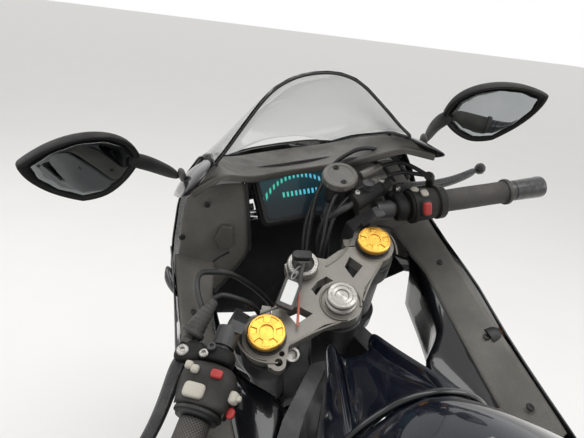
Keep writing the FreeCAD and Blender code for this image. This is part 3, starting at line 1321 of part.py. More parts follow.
def main():
    os.makedirs("parts", exist_ok=True)
    bike = stance()
    steering = bike.multiply(steering_placement(STEER_STOP))
    front_axle = steering.multiply(FreeCAD.Placement(V(AXLE_X, 0, AXLE_Z), FreeCAD.Rotation()))
    rear_axle = bike.multiply(FreeCAD.Placement(V(0, 0, REAR_TYRE_R), FreeCAD.Rotation()))
    front, rear = wheel_pieces()
    nodes = {}
    for pieces, place in ((chassis_pieces(bike), bike), (steering_pieces(), steering), (front, front_axle),
                          (rear, rear_axle)):
        for name, solids in pieces.items():
            nodes[name] = placed(group(solids), place)
    nodes["filler_cap"] = placed(filler_cap(), bike)
    nodes["side_stand"] = side_stand(*stand_line(bike))
    box = FreeCAD.BoundBox()
    for shape in nodes.values():
        for point in shape.tessellate(1.0)[0]:
            box.add(point)
    to_origin = V(-(box.XMin + box.XMax) / 2, -(box.YMin + box.YMax) / 2, 0)
    for name, shape in nodes.items():
        shape.translate(to_origin)
        shape.exportStep("parts/" + name + ".step")
    print("size", round(box.XLength), round(box.YLength), round(box.ZLength), "low", round(box.ZMin, 3))
    print_joints(bike, steering, front_axle, rear_axle, to_origin)
    print_hoses()


def print_joints(bike, steering, front_axle, rear_axle, to_origin):
    """Joint places and axes in the finished frame, in millimetres."""
    hinge = (CAP_X + CAP_R + 10, 0, CAP_Z + 3)
    pivot, _, stand_axis = stand_line(bike)
    y_axis = V(0, 1, 0)
    lines = {
        "steering": (steering.multVec(V(0, 0, 0)), steering.Rotation.multVec(V(0, 0, -1))),
        "front_wheel": (front_axle.Base, front_axle.Rotation.multVec(y_axis)),
        "rear_wheel": (rear_axle.Base, rear_axle.Rotation.multVec(y_axis)),
        "side_stand": (pivot, stand_axis),
        "filler_cap": (bike.multVec(vec(hinge)), bike.Rotation.multVec(y_axis)),
    }
    for name, (place, axis) in lines.items():
        place = place + to_origin
        print("joint", name, *[round(v, 5) for v in (*place, *axis)])
    for name, frame_place in (("bike", bike), ("steering", steering)):
        moved = FreeCAD.Placement(frame_place.Base + to_origin, frame_place.Rotation)
        print("frame", name, *[round(v, 7) for v in moved.toMatrix().A])
    print("range steering", 0.0, 2 * STEER_STOP)
    print("range side_stand", 0.0, STAND_SWING)
    print("range filler_cap", 0.0, CAP_OPEN)


def print_hoses():
    """Each hose's bend radii, its length, and its volume against length times section."""
    for name, (radius, points) in hose_routes().items():
        at = [vec(p) for p in points]
        length = sum((b - a).Length for a, b in zip(at, at[1:]))
        bends = []
        for before, corner, after in zip(at, at[1:], at[2:]):
            half_turn, reach, bend = corner_bend(before, corner, after)
            length += 2 * (half_turn * bend - reach)
            bends.append(round(bend, 1))
        share = bent_pipe(points, radius).Volume / (math.pi * radius ** 2 * length)
        print("hose", name, "bends", *bends, "length", round(length), "volume", round(share, 4))


main()
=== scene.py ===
import bmesh
import bpy
import json
import math
from mathutils import Matrix, Vector


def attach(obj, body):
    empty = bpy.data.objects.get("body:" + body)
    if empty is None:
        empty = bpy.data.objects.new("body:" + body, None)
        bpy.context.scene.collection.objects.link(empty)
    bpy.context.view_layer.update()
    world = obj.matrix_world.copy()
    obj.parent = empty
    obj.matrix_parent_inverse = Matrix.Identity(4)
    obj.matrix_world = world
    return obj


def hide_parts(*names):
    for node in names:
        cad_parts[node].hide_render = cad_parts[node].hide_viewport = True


# Sport bike on its side stand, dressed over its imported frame.
# Chassis pieces are written in the upright bike's millimetres and fork pieces in the
# straight-ahead steering frame's; both are carried to the row frame by the joints.

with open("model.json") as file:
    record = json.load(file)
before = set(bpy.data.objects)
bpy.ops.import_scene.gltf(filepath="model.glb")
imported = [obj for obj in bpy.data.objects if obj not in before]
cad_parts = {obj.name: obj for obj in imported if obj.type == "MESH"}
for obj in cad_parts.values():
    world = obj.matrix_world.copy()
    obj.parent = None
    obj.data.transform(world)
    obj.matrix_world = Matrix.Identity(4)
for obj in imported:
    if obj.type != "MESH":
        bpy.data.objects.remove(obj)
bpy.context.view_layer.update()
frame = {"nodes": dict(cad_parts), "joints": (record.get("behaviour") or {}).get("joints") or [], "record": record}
joints = {joint["name"]: joint for joint in frame["joints"]}
nodes = frame["nodes"]


# Frames of the bike, the fork and the wheels

def placement(origin, along, left, up):
    """Matrix from millimetres on these axes to metres in the row frame."""
    rows = [[along[i], left[i], up[i], origin[i]] for i in range(3)]
    return Matrix(rows + [[0, 0, 0, 1]]) @ Matrix.Scale(0.001, 4)


def joint_line(name):
    return Vector(joints[name]["pos_m"]), Vector(joints[name]["axis"]).normalized()


STEER_AT = (1098.71, 870.0)      # steering origin in the bike, ahead and up
REAR_AXLE_UP = 312.0

steer_at, steer_down = joint_line("steering_turn")
front_at, front_axle = joint_line("front_wheel_spin")
rear_at, rear_axle = joint_line("rear_wheel_spin")
fork = placement(steer_at, front_axle.cross(-steer_down), front_axle, -steer_down)
towards = (steer_at - rear_at).normalized()
square = towards.cross(rear_axle)
climb = math.atan2(STEER_AT[1] - REAR_AXLE_UP, STEER_AT[0])
bike_ahead = math.cos(climb) * towards - math.sin(climb) * square
bike_up = math.sin(climb) * towards + math.cos(climb) * square
bike = placement(rear_at - bike_up * REAR_AXLE_UP / 1000, bike_ahead, rear_axle, bike_up)
front_wheel = placement(front_at, front_axle.cross(-steer_down), front_axle, -steer_down)
rear_wheel = placement(rear_at, bike_ahead, rear_axle, bike_up)

SIDES = ((1, "left"), (-1, "right"))
BAR_START = (45.0, 162.0, 25.0)
BAR_SWEEP = math.radians(31.5)


def on_bar(side, s, ahead=0.0, up=0.0):
    """Point s along a handlebar from its inner end, in the fork's millimetres."""
    x = BAR_START[0] - s * math.sin(BAR_SWEEP) + ahead * math.cos(BAR_SWEEP)
    y = BAR_START[1] + s * math.cos(BAR_SWEEP) + ahead * math.sin(BAR_SWEEP)
    return Vector((x, side * y, BAR_START[2] + up))


# Shader effects that several finishes share

def effect(name, inputs, outputs):
    """Empty node group with named sockets: (name, kind, default) in, (name, kind) out."""
    tree = bpy.data.node_groups.new(name, "ShaderNodeTree")
    for label, kind, default in inputs:
        socket = tree.interface.new_socket(name=label, in_out="INPUT", socket_type="NodeSocket" + kind)
        socket.default_value = (*default, 1.0) if kind == "Color" else default
    for label, kind in outputs:
        tree.interface.new_socket(name=label, in_out="OUTPUT", socket_type="NodeSocket" + kind)
    return tree, tree.nodes.new("NodeGroupInput").outputs, tree.nodes.new("NodeGroupOutput").inputs


def feed(tree, target, value):
    """Links a socket to an input or sets a plain value; a colour is three numbers."""
    if isinstance(value, bpy.types.NodeSocket):
        tree.links.new(value, target)
    else:
        target.default_value = (*value, 1.0) if target.type == "RGBA" else value


def node(tree, kind, links=(), **settings):
    """Shader node with its settings; links are (input, socket or value)."""
    made = tree.nodes.new("ShaderNode" + kind)
    for key, value in settings.items():
        setattr(made, key, value)
    for slot, value in links:
        feed(tree, made.inputs[slot], value)
    return made


def own_place(tree):
    """Places in the piece's own frame, in metres."""
    return node(tree, "TexCoord").outputs["Object"]


def noise(tree, at, scale, detail=2.0):
    return node(tree, "TexNoise", [("Vector", at), ("Scale", scale), ("Detail", detail)]).outputs["Fac"]


def spread(tree, value, low, high, out_low, out_high):
    """Value mapped smoothly from low..high to the output range."""
    links = [("Value", value), ("From Min", low), ("From Max", high), ("To Min", out_low),
             ("To Max", out_high)]
    return node(tree, "MapRange", links, interpolation_type="SMOOTHSTEP").outputs["Result"]


def mixed(tree, share, first, second):
    return node(tree, "Mix", [(0, share), (6, first), (7, second)], data_type="RGBA").outputs[2]


def maths(tree, operation, first, second=0.0, third=0.5):
    return node(tree, "Math", [(0, first), (1, second), (2, third)], operation=operation).outputs[0]


SKIN_OUT = [("Color", "Color"), ("Height", "Float"), ("Roughness", "Float")]
MASK_OUT = [("Color", "Color"), ("Mask", "Float")]


def moulded_grain():
    """Pebbled surface of moulded plastic, leather and rubber."""
    tree, given, put = effect("Moulded grain", [("Scale", "Float", 900.0), ("Light", "Color", (.1, .1, .1)),
                                                ("Dark", "Color", (.02, .02, .02))],
                              SKIN_OUT)
    at = own_place(tree)
    pebble = node(tree, "TexVoronoi", [("Vector", at), ("Scale", given["Scale"])], feature="SMOOTH_F1")
    cloud = noise(tree, at, 14.0, 4.0)
    valley = spread(tree, pebble.outputs["Distance"], 0.1, 0.6, 1.0, 0.0)
    shade = maths(tree, "MULTIPLY_ADD", valley, 0.45, 0.1)
    tone = maths(tree, "ADD", shade, spread(tree, cloud, 0.3, 0.7, -0.12, 0.32))
    feed(tree, put["Color"], mixed(tree, tone, given["Dark"], given["Light"]))
    feed(tree, put["Height"], valley)
    feed(tree, put["Roughness"], spread(tree, cloud, 0.3, 0.7, 0.62, 0.42))
    return tree


def edge_wear():
    """Lighter colour where a corner has been rubbed."""
    tree, given, put = effect("Edge wear", [("Color", "Color", (.1, .1, .1)), ("Worn", "Color", (.4, .4, .4)),
                                            ("Width", "Float", 0.0012), ("Amount", "Float", 0.6)],
                              MASK_OUT)
    rounded = node(tree, "Bevel", [("Radius", given["Width"])], samples=4).outputs[0]
    plain = node(tree, "NewGeometry").outputs["Normal"]
    turn = node(tree, "VectorMath", [(0, rounded), (1, plain)], operation="DOT_PRODUCT").outputs["Value"]
    corner = spread(tree, turn, 0.985, 0.85, 0.0, 1.0)
    at = own_place(tree)
    patchy = spread(tree, noise(tree, at, 160.0, 5.0), 0.4, 0.68, 0.15, 1.0)
    mask = maths(tree, "MULTIPLY", maths(tree, "MULTIPLY", corner, patchy), given["Amount"])
    feed(tree, put["Color"], mixed(tree, mask, given["Color"], given["Worn"]))
    feed(tree, put["Mask"], mask)
    return tree


def settled_dust():
    """Pale dust on faces that look up."""
    tree, given, put = effect("Settled dust", [("Color", "Color", (.1, .1, .1)),
                                               ("Dust", "Color", (.36, .33, .3)), ("Amount", "Float", 0.15)],
                              MASK_OUT)
    up = node(tree, "SeparateXYZ", [(0, node(tree, "NewGeometry").outputs["Normal"])]).outputs["Z"]
    at = own_place(tree)
    patchy = spread(tree, noise(tree, at, 34.0, 6.0), 0.42, 0.75, 0.0, 1.0)
    mask = maths(tree, "MULTIPLY", maths(tree, "MULTIPLY", spread(tree, up, 0.1, 0.95, 0.1, 1.0), patchy),
                 given["Amount"])
    feed(tree, put["Color"], mixed(tree, mask, given["Color"], given["Dust"]))
    feed(tree, put["Mask"], mask)
    return tree


def cast_skin():
    """Fine sandy skin of a casting or a sprayed coat."""
    tree, given, put = effect("Cast skin", [("Base", "Color", (.3, .3, .3)), ("Fleck", "Color", (.4, .4, .4)),
                                            ("Scale", "Float", 1500.0)],
                              SKIN_OUT)
    at = own_place(tree)
    sand = noise(tree, at, given["Scale"], 2.0)
    cloud = noise(tree, at, 24.0, 5.0)
    tone = maths(tree, "ADD", maths(tree, "MULTIPLY", sand, 0.6), maths(tree, "MULTIPLY", cloud, 0.5))
    feed(tree, put["Color"], mixed(tree, spread(tree, tone, 0.35, 0.75, 0.0, 1.0), given["Base"],
            given["Fleck"]))
    feed(tree, put["Height"], sand)
    feed(tree, put["Roughness"], spread(tree, cloud, 0.3, 0.7, 0.34, 0.5))
    return tree


def turned_lines():
    """Fine lathe lines round the piece's own z axis, with smears."""
    tree, given, put = effect("Turned lines", [("Base", "Color", (.6, .6, .6)),
            ("Line", "Color", (.4, .4, .4)), ("Scale", "Float", 900.0)], SKIN_OUT)
    at = own_place(tree)
    rings = node(tree, "TexWave", [("Vector", at), ("Scale", given["Scale"]), ("Distortion", 1.5),
            ("Detail", 3.0)], wave_type="RINGS", rings_direction="Z").outputs["Fac"]
    smear = noise(tree, at, 60.0, 5.0)
    tone = maths(tree, "ADD", maths(tree, "MULTIPLY", rings, 0.35), maths(tree, "MULTIPLY", smear, 0.5))
    feed(tree, put["Color"], mixed(tree, tone, given["Line"], given["Base"]))
    feed(tree, put["Height"], rings)
    feed(tree, put["Roughness"], spread(tree, smear, 0.3, 0.7, 0.2, 0.38))
    return tree


def paint_flake():
    """Paint with fine flakes and faint wipe marks in its gloss."""
    tree, given, put = effect("Paint flake", [("Base", "Color", (.01, .01, .01)),
            ("Flake", "Color", (.05, .07, .12)), ("Scale", "Float", 2600.0)], SKIN_OUT)
    at = own_place(tree)
    flake = node(tree, "TexVoronoi", [("Vector", at), ("Scale", given["Scale"])]).outputs["Color"]
    spark = node(tree, "SeparateXYZ", [(0, flake)]).outputs["X"]
    wipe = noise(tree, at, 9.0, 6.0)
    feed(tree, put["Color"], mixed(tree, spread(tree, spark, 0.55, 1.0, 0.0, 0.8), given["Base"],
            given["Flake"]))
    feed(tree, put["Height"], noise(tree, at, 70.0, 1.0))
    feed(tree, put["Roughness"], spread(tree, wipe, 0.35, 0.7, 0.16, 0.3))
    return tree


def diamond_knurl():
    """Crossing grooves round the piece's own z axis, as on a grip."""
    tree, given, put = effect("Diamond knurl", [("Rib", "Color", (.12, .11, .1)),
            ("Groove", "Color", (.03, .03, .03)), ("Around", "Float", 14.0), ("Along", "Float", 900.0)],
            SKIN_OUT[:2])
    at = node(tree, "SeparateXYZ", [(0, own_place(tree))]).outputs
    angle = maths(tree, "MULTIPLY", maths(tree, "ARCTAN2", at["Y"], at["X"]), given["Around"])
    run = maths(tree, "MULTIPLY", at["Z"], given["Along"])
    one = maths(tree, "ABSOLUTE", maths(tree, "SINE", maths(tree, "ADD", angle, run)))
    two = maths(tree, "ABSOLUTE", maths(tree, "SINE", maths(tree, "SUBTRACT", angle, run)))
    ridge = spread(tree, maths(tree, "MINIMUM", one, two), 0.12, 0.5, 0.0, 1.0)
    feed(tree, put["Color"], mixed(tree, ridge, given["Groove"], given["Rib"]))
    feed(tree, put["Height"], ridge)
    return tree


GRAIN, WEAR, DUST = moulded_grain(), edge_wear(), settled_dust()
CAST, LATHE, FLAKE, KNURL = cast_skin(), turned_lines(), paint_flake(), diamond_knurl()
TONES = {"Moulded grain": ("Light", "Dark"), "Cast skin": ("Base", "Fleck"), "Turned lines": ("Base", "Line"),
         "Paint flake": ("Base", "Flake"), "Diamond knurl": ("Rib", "Groove")}
RUBBED_STEEL = (.42, .41, .4)


def placed_effect(tree, group, **values):
    """The group in a material; its inputs are given by name."""
    made = tree.nodes.new("ShaderNodeGroup")
    made.node_tree = group
    for label, value in values.items():
        feed(tree, made.inputs[label], value)
    return made.outputs


def new_material(name):
    """Material kept under its name; gives its node tree and its shader's inputs."""
    material = finishes[name] = bpy.data.materials.new(name)
    material.use_nodes = True
    return material.node_tree, material.node_tree.nodes["Principled BSDF"].inputs


finishes = {}


def finish(name, skin, values, worn=None, wear=0.6, dust=0.1, bump=0.0002, rounding=0.0008, **shader):
    """Material from one skin effect, rubbed edges and dust; shader values are plain constants."""
    tree, gloss = new_material(name)
    surface = placed_effect(tree, skin, **values)
    paint = surface["Color"]
    if worn:
        paint = placed_effect(tree, WEAR, Color=paint, Worn=worn, Amount=wear)["Color"]
    if dust:
        paint = placed_effect(tree, DUST, Color=paint, Amount=dust)["Color"]
    feed(tree, gloss["Base Color"], paint)
    if "Roughness" in surface and "roughness" not in shader:
        feed(tree, gloss["Roughness"], surface["Roughness"])
    soft = node(tree, "Bevel", [("Radius", rounding)], samples=4).outputs[0]
    relief = node(tree, "Bump", [("Height", surface["Height"]), ("Distance", bump), ("Normal", soft)])
    feed(tree, gloss["Normal"], relief.outputs[0])
    for key, value in shader.items():
        gloss[key.replace("_", " ").title().replace("Ior", "IOR")].default_value = value


def two_tone(name, skin, first, second, scale=None, **settings):
    """Finish from a skin effect's two colours and the scale of its pattern."""
    values = dict(zip(TONES[skin.name], (first, second)))
    if scale:
        values["Scale"] = scale
    finish(name, skin, values, **settings)


two_tone("tyre_rubber", GRAIN, (.024, .023, .022), (.009, .009, .009), 700, dust=.15, specular_ior_level=.25)
two_tone("wheel_black", CAST, (.016, .016, .018), (.04, .04, .043), worn=(.12, .12, .12), coat_weight=.4)
two_tone("disc_steel", LATHE, (.55, .55, .55), (.3, .3, .3), metallic=1.0, dust=.03)
two_tone("chain_steel", CAST, (.26, .25, .23), (.42, .41, .38), worn=(.6, .6, .6), metallic=1.0)
two_tone("yoke_cast", CAST, (.15, .14, .122), (.24, .225, .2), 2200, worn=(.5, .48, .45), metallic=.35,
         bump=.00012, dust=.08)
two_tone("dark_metal", CAST, (.02, .02, .021), (.05, .05, .052), worn=RUBBED_STEEL, wear=.35, metallic=.3)
two_tone("fork_alloy", CAST, (.3, .3, .31), (.42, .42, .43), worn=(.6, .6, .6), metallic=.85)
two_tone("gold_alloy", LATHE, (.8, .47, .09), (.62, .33, .05), 500, worn=(.95, .72, .35), wear=.5,
         metallic=.9, dust=.02, bump=.00004)
two_tone("bright_alloy", LATHE, (.42, .41, .38), (.26, .25, .235), metallic=.9, dust=.04, bump=.00004)
two_tone("key_steel", LATHE, (.6, .6, .6), (.4, .4, .4), metallic=1.0, dust=.02)
two_tone("control_plastic", GRAIN, (.036, .034, .031), (.012, .012, .011), 1500, worn=(.14, .13, .12),
         wear=.4, dust=.08, specular_ior_level=.3)
two_tone("grip_rubber", KNURL, (.085, .078, .068), (.012, .011, .01), dust=.15, bump=.0009, rounding=.0003,
         roughness=.62)
two_tone("bar_end_black", LATHE, (.03, .03, .032), (.015, .015, .016), worn=RUBBED_STEEL, wear=.3,
         coat_weight=.3)
two_tone("reservoir_plastic", CAST, (.085, .08, .07), (.14, .13, .115), worn=(.3, .28, .25), dust=.1)
two_tone("hose_rubber", GRAIN, (.03, .03, .03), (.012, .012, .012), 1100, dust=.15, roughness=.42)
two_tone("engine_alloy", CAST, (.06, .06, .062), (.12, .12, .123), worn=(.3, .3, .3), metallic=.6)
two_tone("radiator_alloy", CAST, (.04, .04, .042), (.09, .09, .095), worn=(.2, .2, .2), metallic=.4)
two_tone("exhaust_steel", LATHE, (.46, .42, .36), (.28, .24, .2), 40, worn=(.6, .55, .5), metallic=1.0)
two_tone("silencer_black", CAST, (.02, .02, .02), (.05, .05, .05), worn=(.2, .2, .2), coat_weight=.2)
two_tone("shock_red", CAST, (.3, .018, .012), (.42, .04, .03), worn=(.5, .4, .38), coat_weight=.6)
two_tone("tank_paint", FLAKE, (.0022, .0028, .006), (.012, .018, .04), dust=.006, bump=.00003, metallic=0.0,
         coat_weight=.85, coat_roughness=.03, specular_ior_level=.2)
two_tone("gloss_black", FLAKE, (.0025, .0027, .0034), (.008, .0095, .014), dust=.008, bump=.00003,
         coat_weight=.7, coat_roughness=.04, specular_ior_level=.2)
two_tone("matte_black", GRAIN, (.02, .0195, .019), (.007, .007, .007), 1300, worn=(.08, .08, .08), wear=.3,
         dust=.06, specular_ior_level=.22)
two_tone("inner_grey", GRAIN, (.17, .163, .143), (.085, .081, .07), 1200, worn=(.26, .25, .22), wear=.4,
         dust=.1)
two_tone("hood_olive", GRAIN, (.125, .118, .1), (.055, .052, .045), 1200, worn=(.2, .19, .17), wear=.4,
         dust=.15)
two_tone("seat_vinyl", GRAIN, (.034, .033, .033), (.013, .013, .013), 620, dust=.14, bump=.0004,
         sheen_weight=.15)
two_tone("lamp_red", FLAKE, (.3, .008, .006), (.6, .05, .04), 500, dust=.03, coat_weight=1.0)
two_tone("mirror_silver", CAST, (.36, .38, .39), (.42, .44, .45), 8, metallic=1.0, roughness=.02, bump=0.0,
         dust=.02)
two_tone("rest_alloy", CAST, (.07, .07, .073), (.13, .13, .135), worn=(.45, .45, .45), metallic=.6)
two_tone("button_cream", GRAIN, (.62, .58, .5), (.42, .39, .33), 2200, worn=(.75, .72, .66), dust=.12)
two_tone("button_red", GRAIN, (.55, .03, .025), (.3, .012, .01), 2200, worn=(.7, .25, .2), dust=.05,
         coat_weight=.3)
two_tone("boot_rubber", GRAIN, (.07, .066, .058), (.026, .025, .022), 1500, dust=.14)
two_tone("tag_leather", GRAIN, (.05, .047, .044), (.02, .019, .018), 900, dust=.1)
two_tone("tag_paper", CAST, (.62, .62, .6), (.74, .74, .72), dust=.05)
two_tone("strap_coral", GRAIN, (.62, .2, .13), (.36, .09, .06), 2600, dust=.05)
two_tone("amber_lens", FLAKE, (.7, .2, .02), (.9, .35, .06), 700, coat_weight=1.0)
# seam_black is the near-black of real seams and trims, and also of the stem nut's plug and the nose tray, where it
# is painted shade.
two_tone("seam_black", GRAIN, (.012, .012, .012), (.004, .004, .004), 900, dust=0.0)


def clear_finish(name, tint, rough, ior):
    """Clear or smoked plastic, with faint wipe marks in its gloss."""
    tree, gloss = new_material(name)
    gloss["Transmission Weight"].default_value = 1.0
    gloss["IOR"].default_value = ior
    wipe = noise(tree, own_place(tree), 12.0, 6.0)
    deep = tuple(c * .8 for c in tint)
    feed(tree, gloss["Base Color"], mixed(tree, spread(tree, wipe, .3, .8, 0.0, .25), tint, deep))
    feed(tree, gloss["Roughness"], spread(tree, wipe, .4, .8, rough, rough * 2.5))


clear_finish("screen_smoke", (.9, .91, .91), .008, 1.15)
clear_finish("lamp_clear", (.9, .92, .95), .02, 1.4)
for part in frame["record"]["subparts"]:
    mesh = nodes[part["node"]].data
    mesh.materials.clear()
    mesh.materials.append(finishes[part["material_slot"]])


# Making meshes

WALL_CREASE = 0.7                               # how sharp a wall's rim stays when smoothed
SLAB_SHARP, TURNED_SHARP, BOLT_SHARP = 35, 32, 40       # degrees from which an edge stays sharp
JOIN = 1e-6                                     # metres under which two points are one


def shown(name, data, skin, body="chassis", stands_for=(), at=None):
    """Object of the bike with its finish, riding on its body."""
    piece = bpy.data.objects.new(name, data)
    bpy.context.scene.collection.objects.link(piece)
    if at is not None:
        piece.matrix_world = at
    data.materials.append(finishes[skin])
    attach(piece, body)
    if stands_for:
        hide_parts(*stands_for)
    return piece


def faces_outward(mesh, merge=0.0):
    """Turns every face outwards, first joining points closer than the merge distance."""
    shell = bmesh.new()
    shell.from_mesh(mesh)
    if merge:
        bmesh.ops.remove_doubles(shell, verts=shell.verts, dist=merge)
    bmesh.ops.recalc_face_normals(shell, faces=shell.faces)
    shell.to_mesh(mesh)
    shell.free()


def woven(name, rows, place, loop=False, caps=False, hard_cols=(), hard_rows=(), hardness=0.8):
    """Mesh through rows of points; a loop's rows close on themselves."""
    count = len(rows[0])
    verts = [place @ Vector(point) for row in rows for point in row]
    faces = [(i * count + j, i * count + (j + 1) % count, (i + 1) * count + (j + 1) % count,
              (i + 1) * count + j) for i in range(len(rows) - 1) for j in range(count if loop else count - 1)]
    if caps:
        last = (len(rows) - 1) * count
        faces += [tuple(range(count))[::-1], tuple(range(last, last + count))]
    mesh = bpy.data.meshes.new(name)
    mesh.from_pydata(verts, [], faces)
    if loop:
        faces_outward(mesh)
    mesh.shade_smooth()
    crease = mesh.attributes.new("crease_edge", "FLOAT", "EDGE")
    for edge in mesh.edges:
        a, b = edge.vertices
        same_col = a % count == b % count and a % count in hard_cols
        same_row = a // count == b // count and a // count in hard_rows
        crease.data[edge.index].value = hardness if same_col or same_row else 0.0
    return mesh


def with_modifiers(piece, thick=0.0, levels=2, bevel=0.0):
    """Wall under the outer face, rounded corners and smoothing, each where it is asked for."""
    if thick:
        wall = piece.modifiers.new("wall", "SOLIDIFY")
        wall.thickness = thick / 1000
        wall.offset = -1.0
        wall.edge_crease_rim = wall.edge_crease_outer = wall.edge_crease_inner = WALL_CREASE
    if bevel:
        edge = piece.modifiers.new("edge", "BEVEL")
        edge.width = bevel / 1000
        edge.segments = 3
        edge.limit_method = "ANGLE"
        edge.harden_normals = True
    if levels:
        smooth = piece.modifiers.new("smooth", "SUBSURF")
        smooth.levels = smooth.render_levels = levels
    return piece


def sheet(name, rows, skin, body="chassis", place=bike, thick=3.0, levels=2, stands_for=(), **weave):
    """Moulded panel through rows of points, with its wall."""
    mesh = woven(name, rows, place, **weave)
    return with_modifiers(shown(name, mesh, skin, body, stands_for), thick, levels)


def body_of_loops(name, rows, skin, body="chassis", place=bike, levels=2, stands_for=(), **weave):
    """Closed form through loops of points, smoothed."""
    mesh = woven(name, rows, place, loop=True, caps=True, **weave)
    return with_modifiers(shown(name, mesh, skin, body, stands_for), 0, levels)


def other_side(rows):
    """Rows on the right, their points in the opposite order."""
    return [[(x, -y, z) for x, y, z in row][::-1] for row in rows]


def on_side(side, rows):
    return rows if side > 0 else other_side(rows)


def line_on(side, points):
    return [(x, side * y, z) for x, y, z in points]


def stations(table):
    """Rows of points from (x, ((y, z), ...)) stations."""
    return [[(x, y, z) for y, z in points] for x, points in table]


def quads(table):
    """Four-sided loops from (x, right, left, low, high) stations."""
    return [[(x, right, low), (x, right, high), (x, left, high), (x, left, low)]
            for x, right, left, low, high in table]


def both_sides(make, name, rows, skin, hard_cols=(), stands_for=(), **more):
    """A left piece and its mirror image; the left one takes the place of the CAD node."""
    last = len(rows[0]) - 1
    for side, tag in SIDES:
        cols = hard_cols if side > 0 else [last - col for col in hard_cols]
        make(name + "_" + tag, on_side(side, rows), skin, hard_cols=cols,
             stands_for=stands_for if side > 0 else (), **more)


def both_halves(rows):
    """Rows from the middle outwards, continued over the middle to the other side."""
    return [[(x, -y, z) for x, y, z in row[:0:-1]] + list(row) for row in rows]


def slab(name, outline, low, high, skin, body="chassis", place=bike, bevel=1.0, stands_for=()):
    """Plate with an (x, y) outline between two heights of the placement, corners rounded."""
    count = len(outline)
    verts = [place @ Vector((x, y, z)) for z in (low, high) for x, y in outline]
    faces = [tuple(range(count))[::-1], tuple(range(count, 2 * count))]
    faces += [(i, (i + 1) % count, count + (i + 1) % count, count + i) for i in range(count)]
    mesh = bpy.data.meshes.new(name)
    mesh.from_pydata(verts, [], faces)
    faces_outward(mesh)
    mesh.shade_smooth()
    mesh.set_sharp_from_angle(angle=math.radians(SLAB_SHARP))
    return with_modifiers(shown(name, mesh, skin, body, stands_for), 0, 0, bevel)


def axis_frame(place, start, direction):
    """Matrix in metres with z along a direction of the placement."""
    z = (place.to_3x3() @ Vector(direction)).normalized()
    x = z.orthogonal().normalized()
    y = z.cross(x)
    origin = place @ Vector(start)
    return Matrix([[x[i], y[i], z[i], origin[i]] for i in range(3)] + [[0, 0, 0, 1]])


def turned_mesh(name, profile, steps, ring=False):
    """Mesh of revolution about z from (radius, height) millimetres; a ring's profile closes on itself."""
    profile = list(profile) + list(profile[:1]) * ring
    verts, faces = [], []
    for radius, height in profile:
        verts += [(radius * c / 1000, radius * s / 1000, height / 1000) for c, s in circle(steps)]
    for i in range(len(profile) - 1):
        for k in range(steps):
            n = (k + 1) % steps
            faces.append((i * steps + k, i * steps + n, (i + 1) * steps + n, (i + 1) * steps + k))
    if not ring:
        faces += [tuple(range(steps))[::-1], tuple(range(len(verts) - steps, len(verts)))]
    mesh = bpy.data.meshes.new(name)
    mesh.from_pydata(verts, [], faces)
    faces_outward(mesh, JOIN)
    mesh.shade_smooth()
    mesh.set_sharp_from_angle(angle=math.radians(TURNED_SHARP))
    return mesh


def turned(name, profile, start, direction, skin, body="chassis", place=bike, steps=40, stands_for=(),
           ring=False):
    """Piece turned on a lathe, its own z along the axis; a ring's mesh is placed in the row frame."""
    mesh = turned_mesh(name, profile, steps, ring)
    at = axis_frame(place, start, direction)
    if ring:
        mesh.transform(at)
    return shown(name, mesh, skin, body, stands_for, None if ring else at)


def wire(name, points, radius, skin, body="chassis", place=bike, loop=False):
    """Round bead, rim or cable on a smooth line."""
    line = bpy.data.curves.new(name, "CURVE")
    line.dimensions = "3D"
    line.bevel_depth = radius / 1000
    line.bevel_resolution = 3
    line.use_fill_caps = True
    line.resolution_u = 8
    spline = line.splines.new("NURBS")
    spline.points.add(len(points) - 1)
    for spot, point in zip(spline.points, points):
        spot.co = (*(place @ Vector(point)), 1.0)
    spline.use_cyclic_u = loop
    spline.use_endpoint_u = not loop
    spline.order_u = 3
    return shown(name, line, skin, body)


def circle(count, turn=0.0):
    """Cosine and sine of evenly spaced angles."""
    angles = [math.tau * (k + turn) / count for k in range(count)]
    return [(math.cos(angle), math.sin(angle)) for angle in angles]


BOLT_STEPS = 12
SOCKET = 0.46           # a bolt's hexagon socket, as a share of its head
BOLT_HEAD = ((1.0, 0.0), (1.0, 0.35), (0.86, 0.8), (0.62, 1.0))      # shares of the radius and the height


def bolts(name, spots, skin, body="chassis", place=bike, radius=4.5, height=3.2):
    """Button head bolts with hexagon sockets, as one mesh; spots are (point, direction)."""
    shell = bmesh.new()
    steps = BOLT_STEPS
    hexagon = [SOCKET, SOCKET * math.cos(math.pi / 6)] * (steps // 2)
    levels = [([share] * steps, up) for share, up in BOLT_HEAD]
    levels += [(hexagon, 1.0), (hexagon, 0.45)]
    for point, direction in spots:
        local = axis_frame(place, point, direction)
        rings = [[local @ Vector((radius * share * c / 1000, radius * share * s / 1000, height * up / 1000))
                  for share, (c, s) in zip(shares, circle(steps))] for shares, up in levels]
        made = [[shell.verts.new(p) for p in ring] for ring in rings]
        for low, high in zip(made, made[1:]):
            for k in range(steps):
                n = (k + 1) % steps
                shell.faces.new((low[k], low[n], high[n], high[k]))
        shell.faces.new(made[-1])
        shell.faces.new(made[0][::-1])
    mesh = bpy.data.meshes.new(name)
    shell.to_mesh(mesh)
    shell.free()
    mesh.shade_smooth()
    mesh.set_sharp_from_angle(angle=math.radians(BOLT_SHARP))
    return shown(name, mesh, skin, body)


def between(a, b, share):
    return tuple(p + (q - p) * share for p, q in zip(a, b))


def along_table(table, at):
    """Values at a place from rows (place, values...), straight between them."""
    rows = sorted(table)
    for low, high in zip(rows, rows[1:]):
        if at <= high[0] or high is rows[-1]:
            share = (at - low[0]) / (high[0] - low[0])
            return between(low[1:], high[1:], min(1.0, max(0.0, share)))
    return rows[-1][1:]


# Windscreen, hood and dash

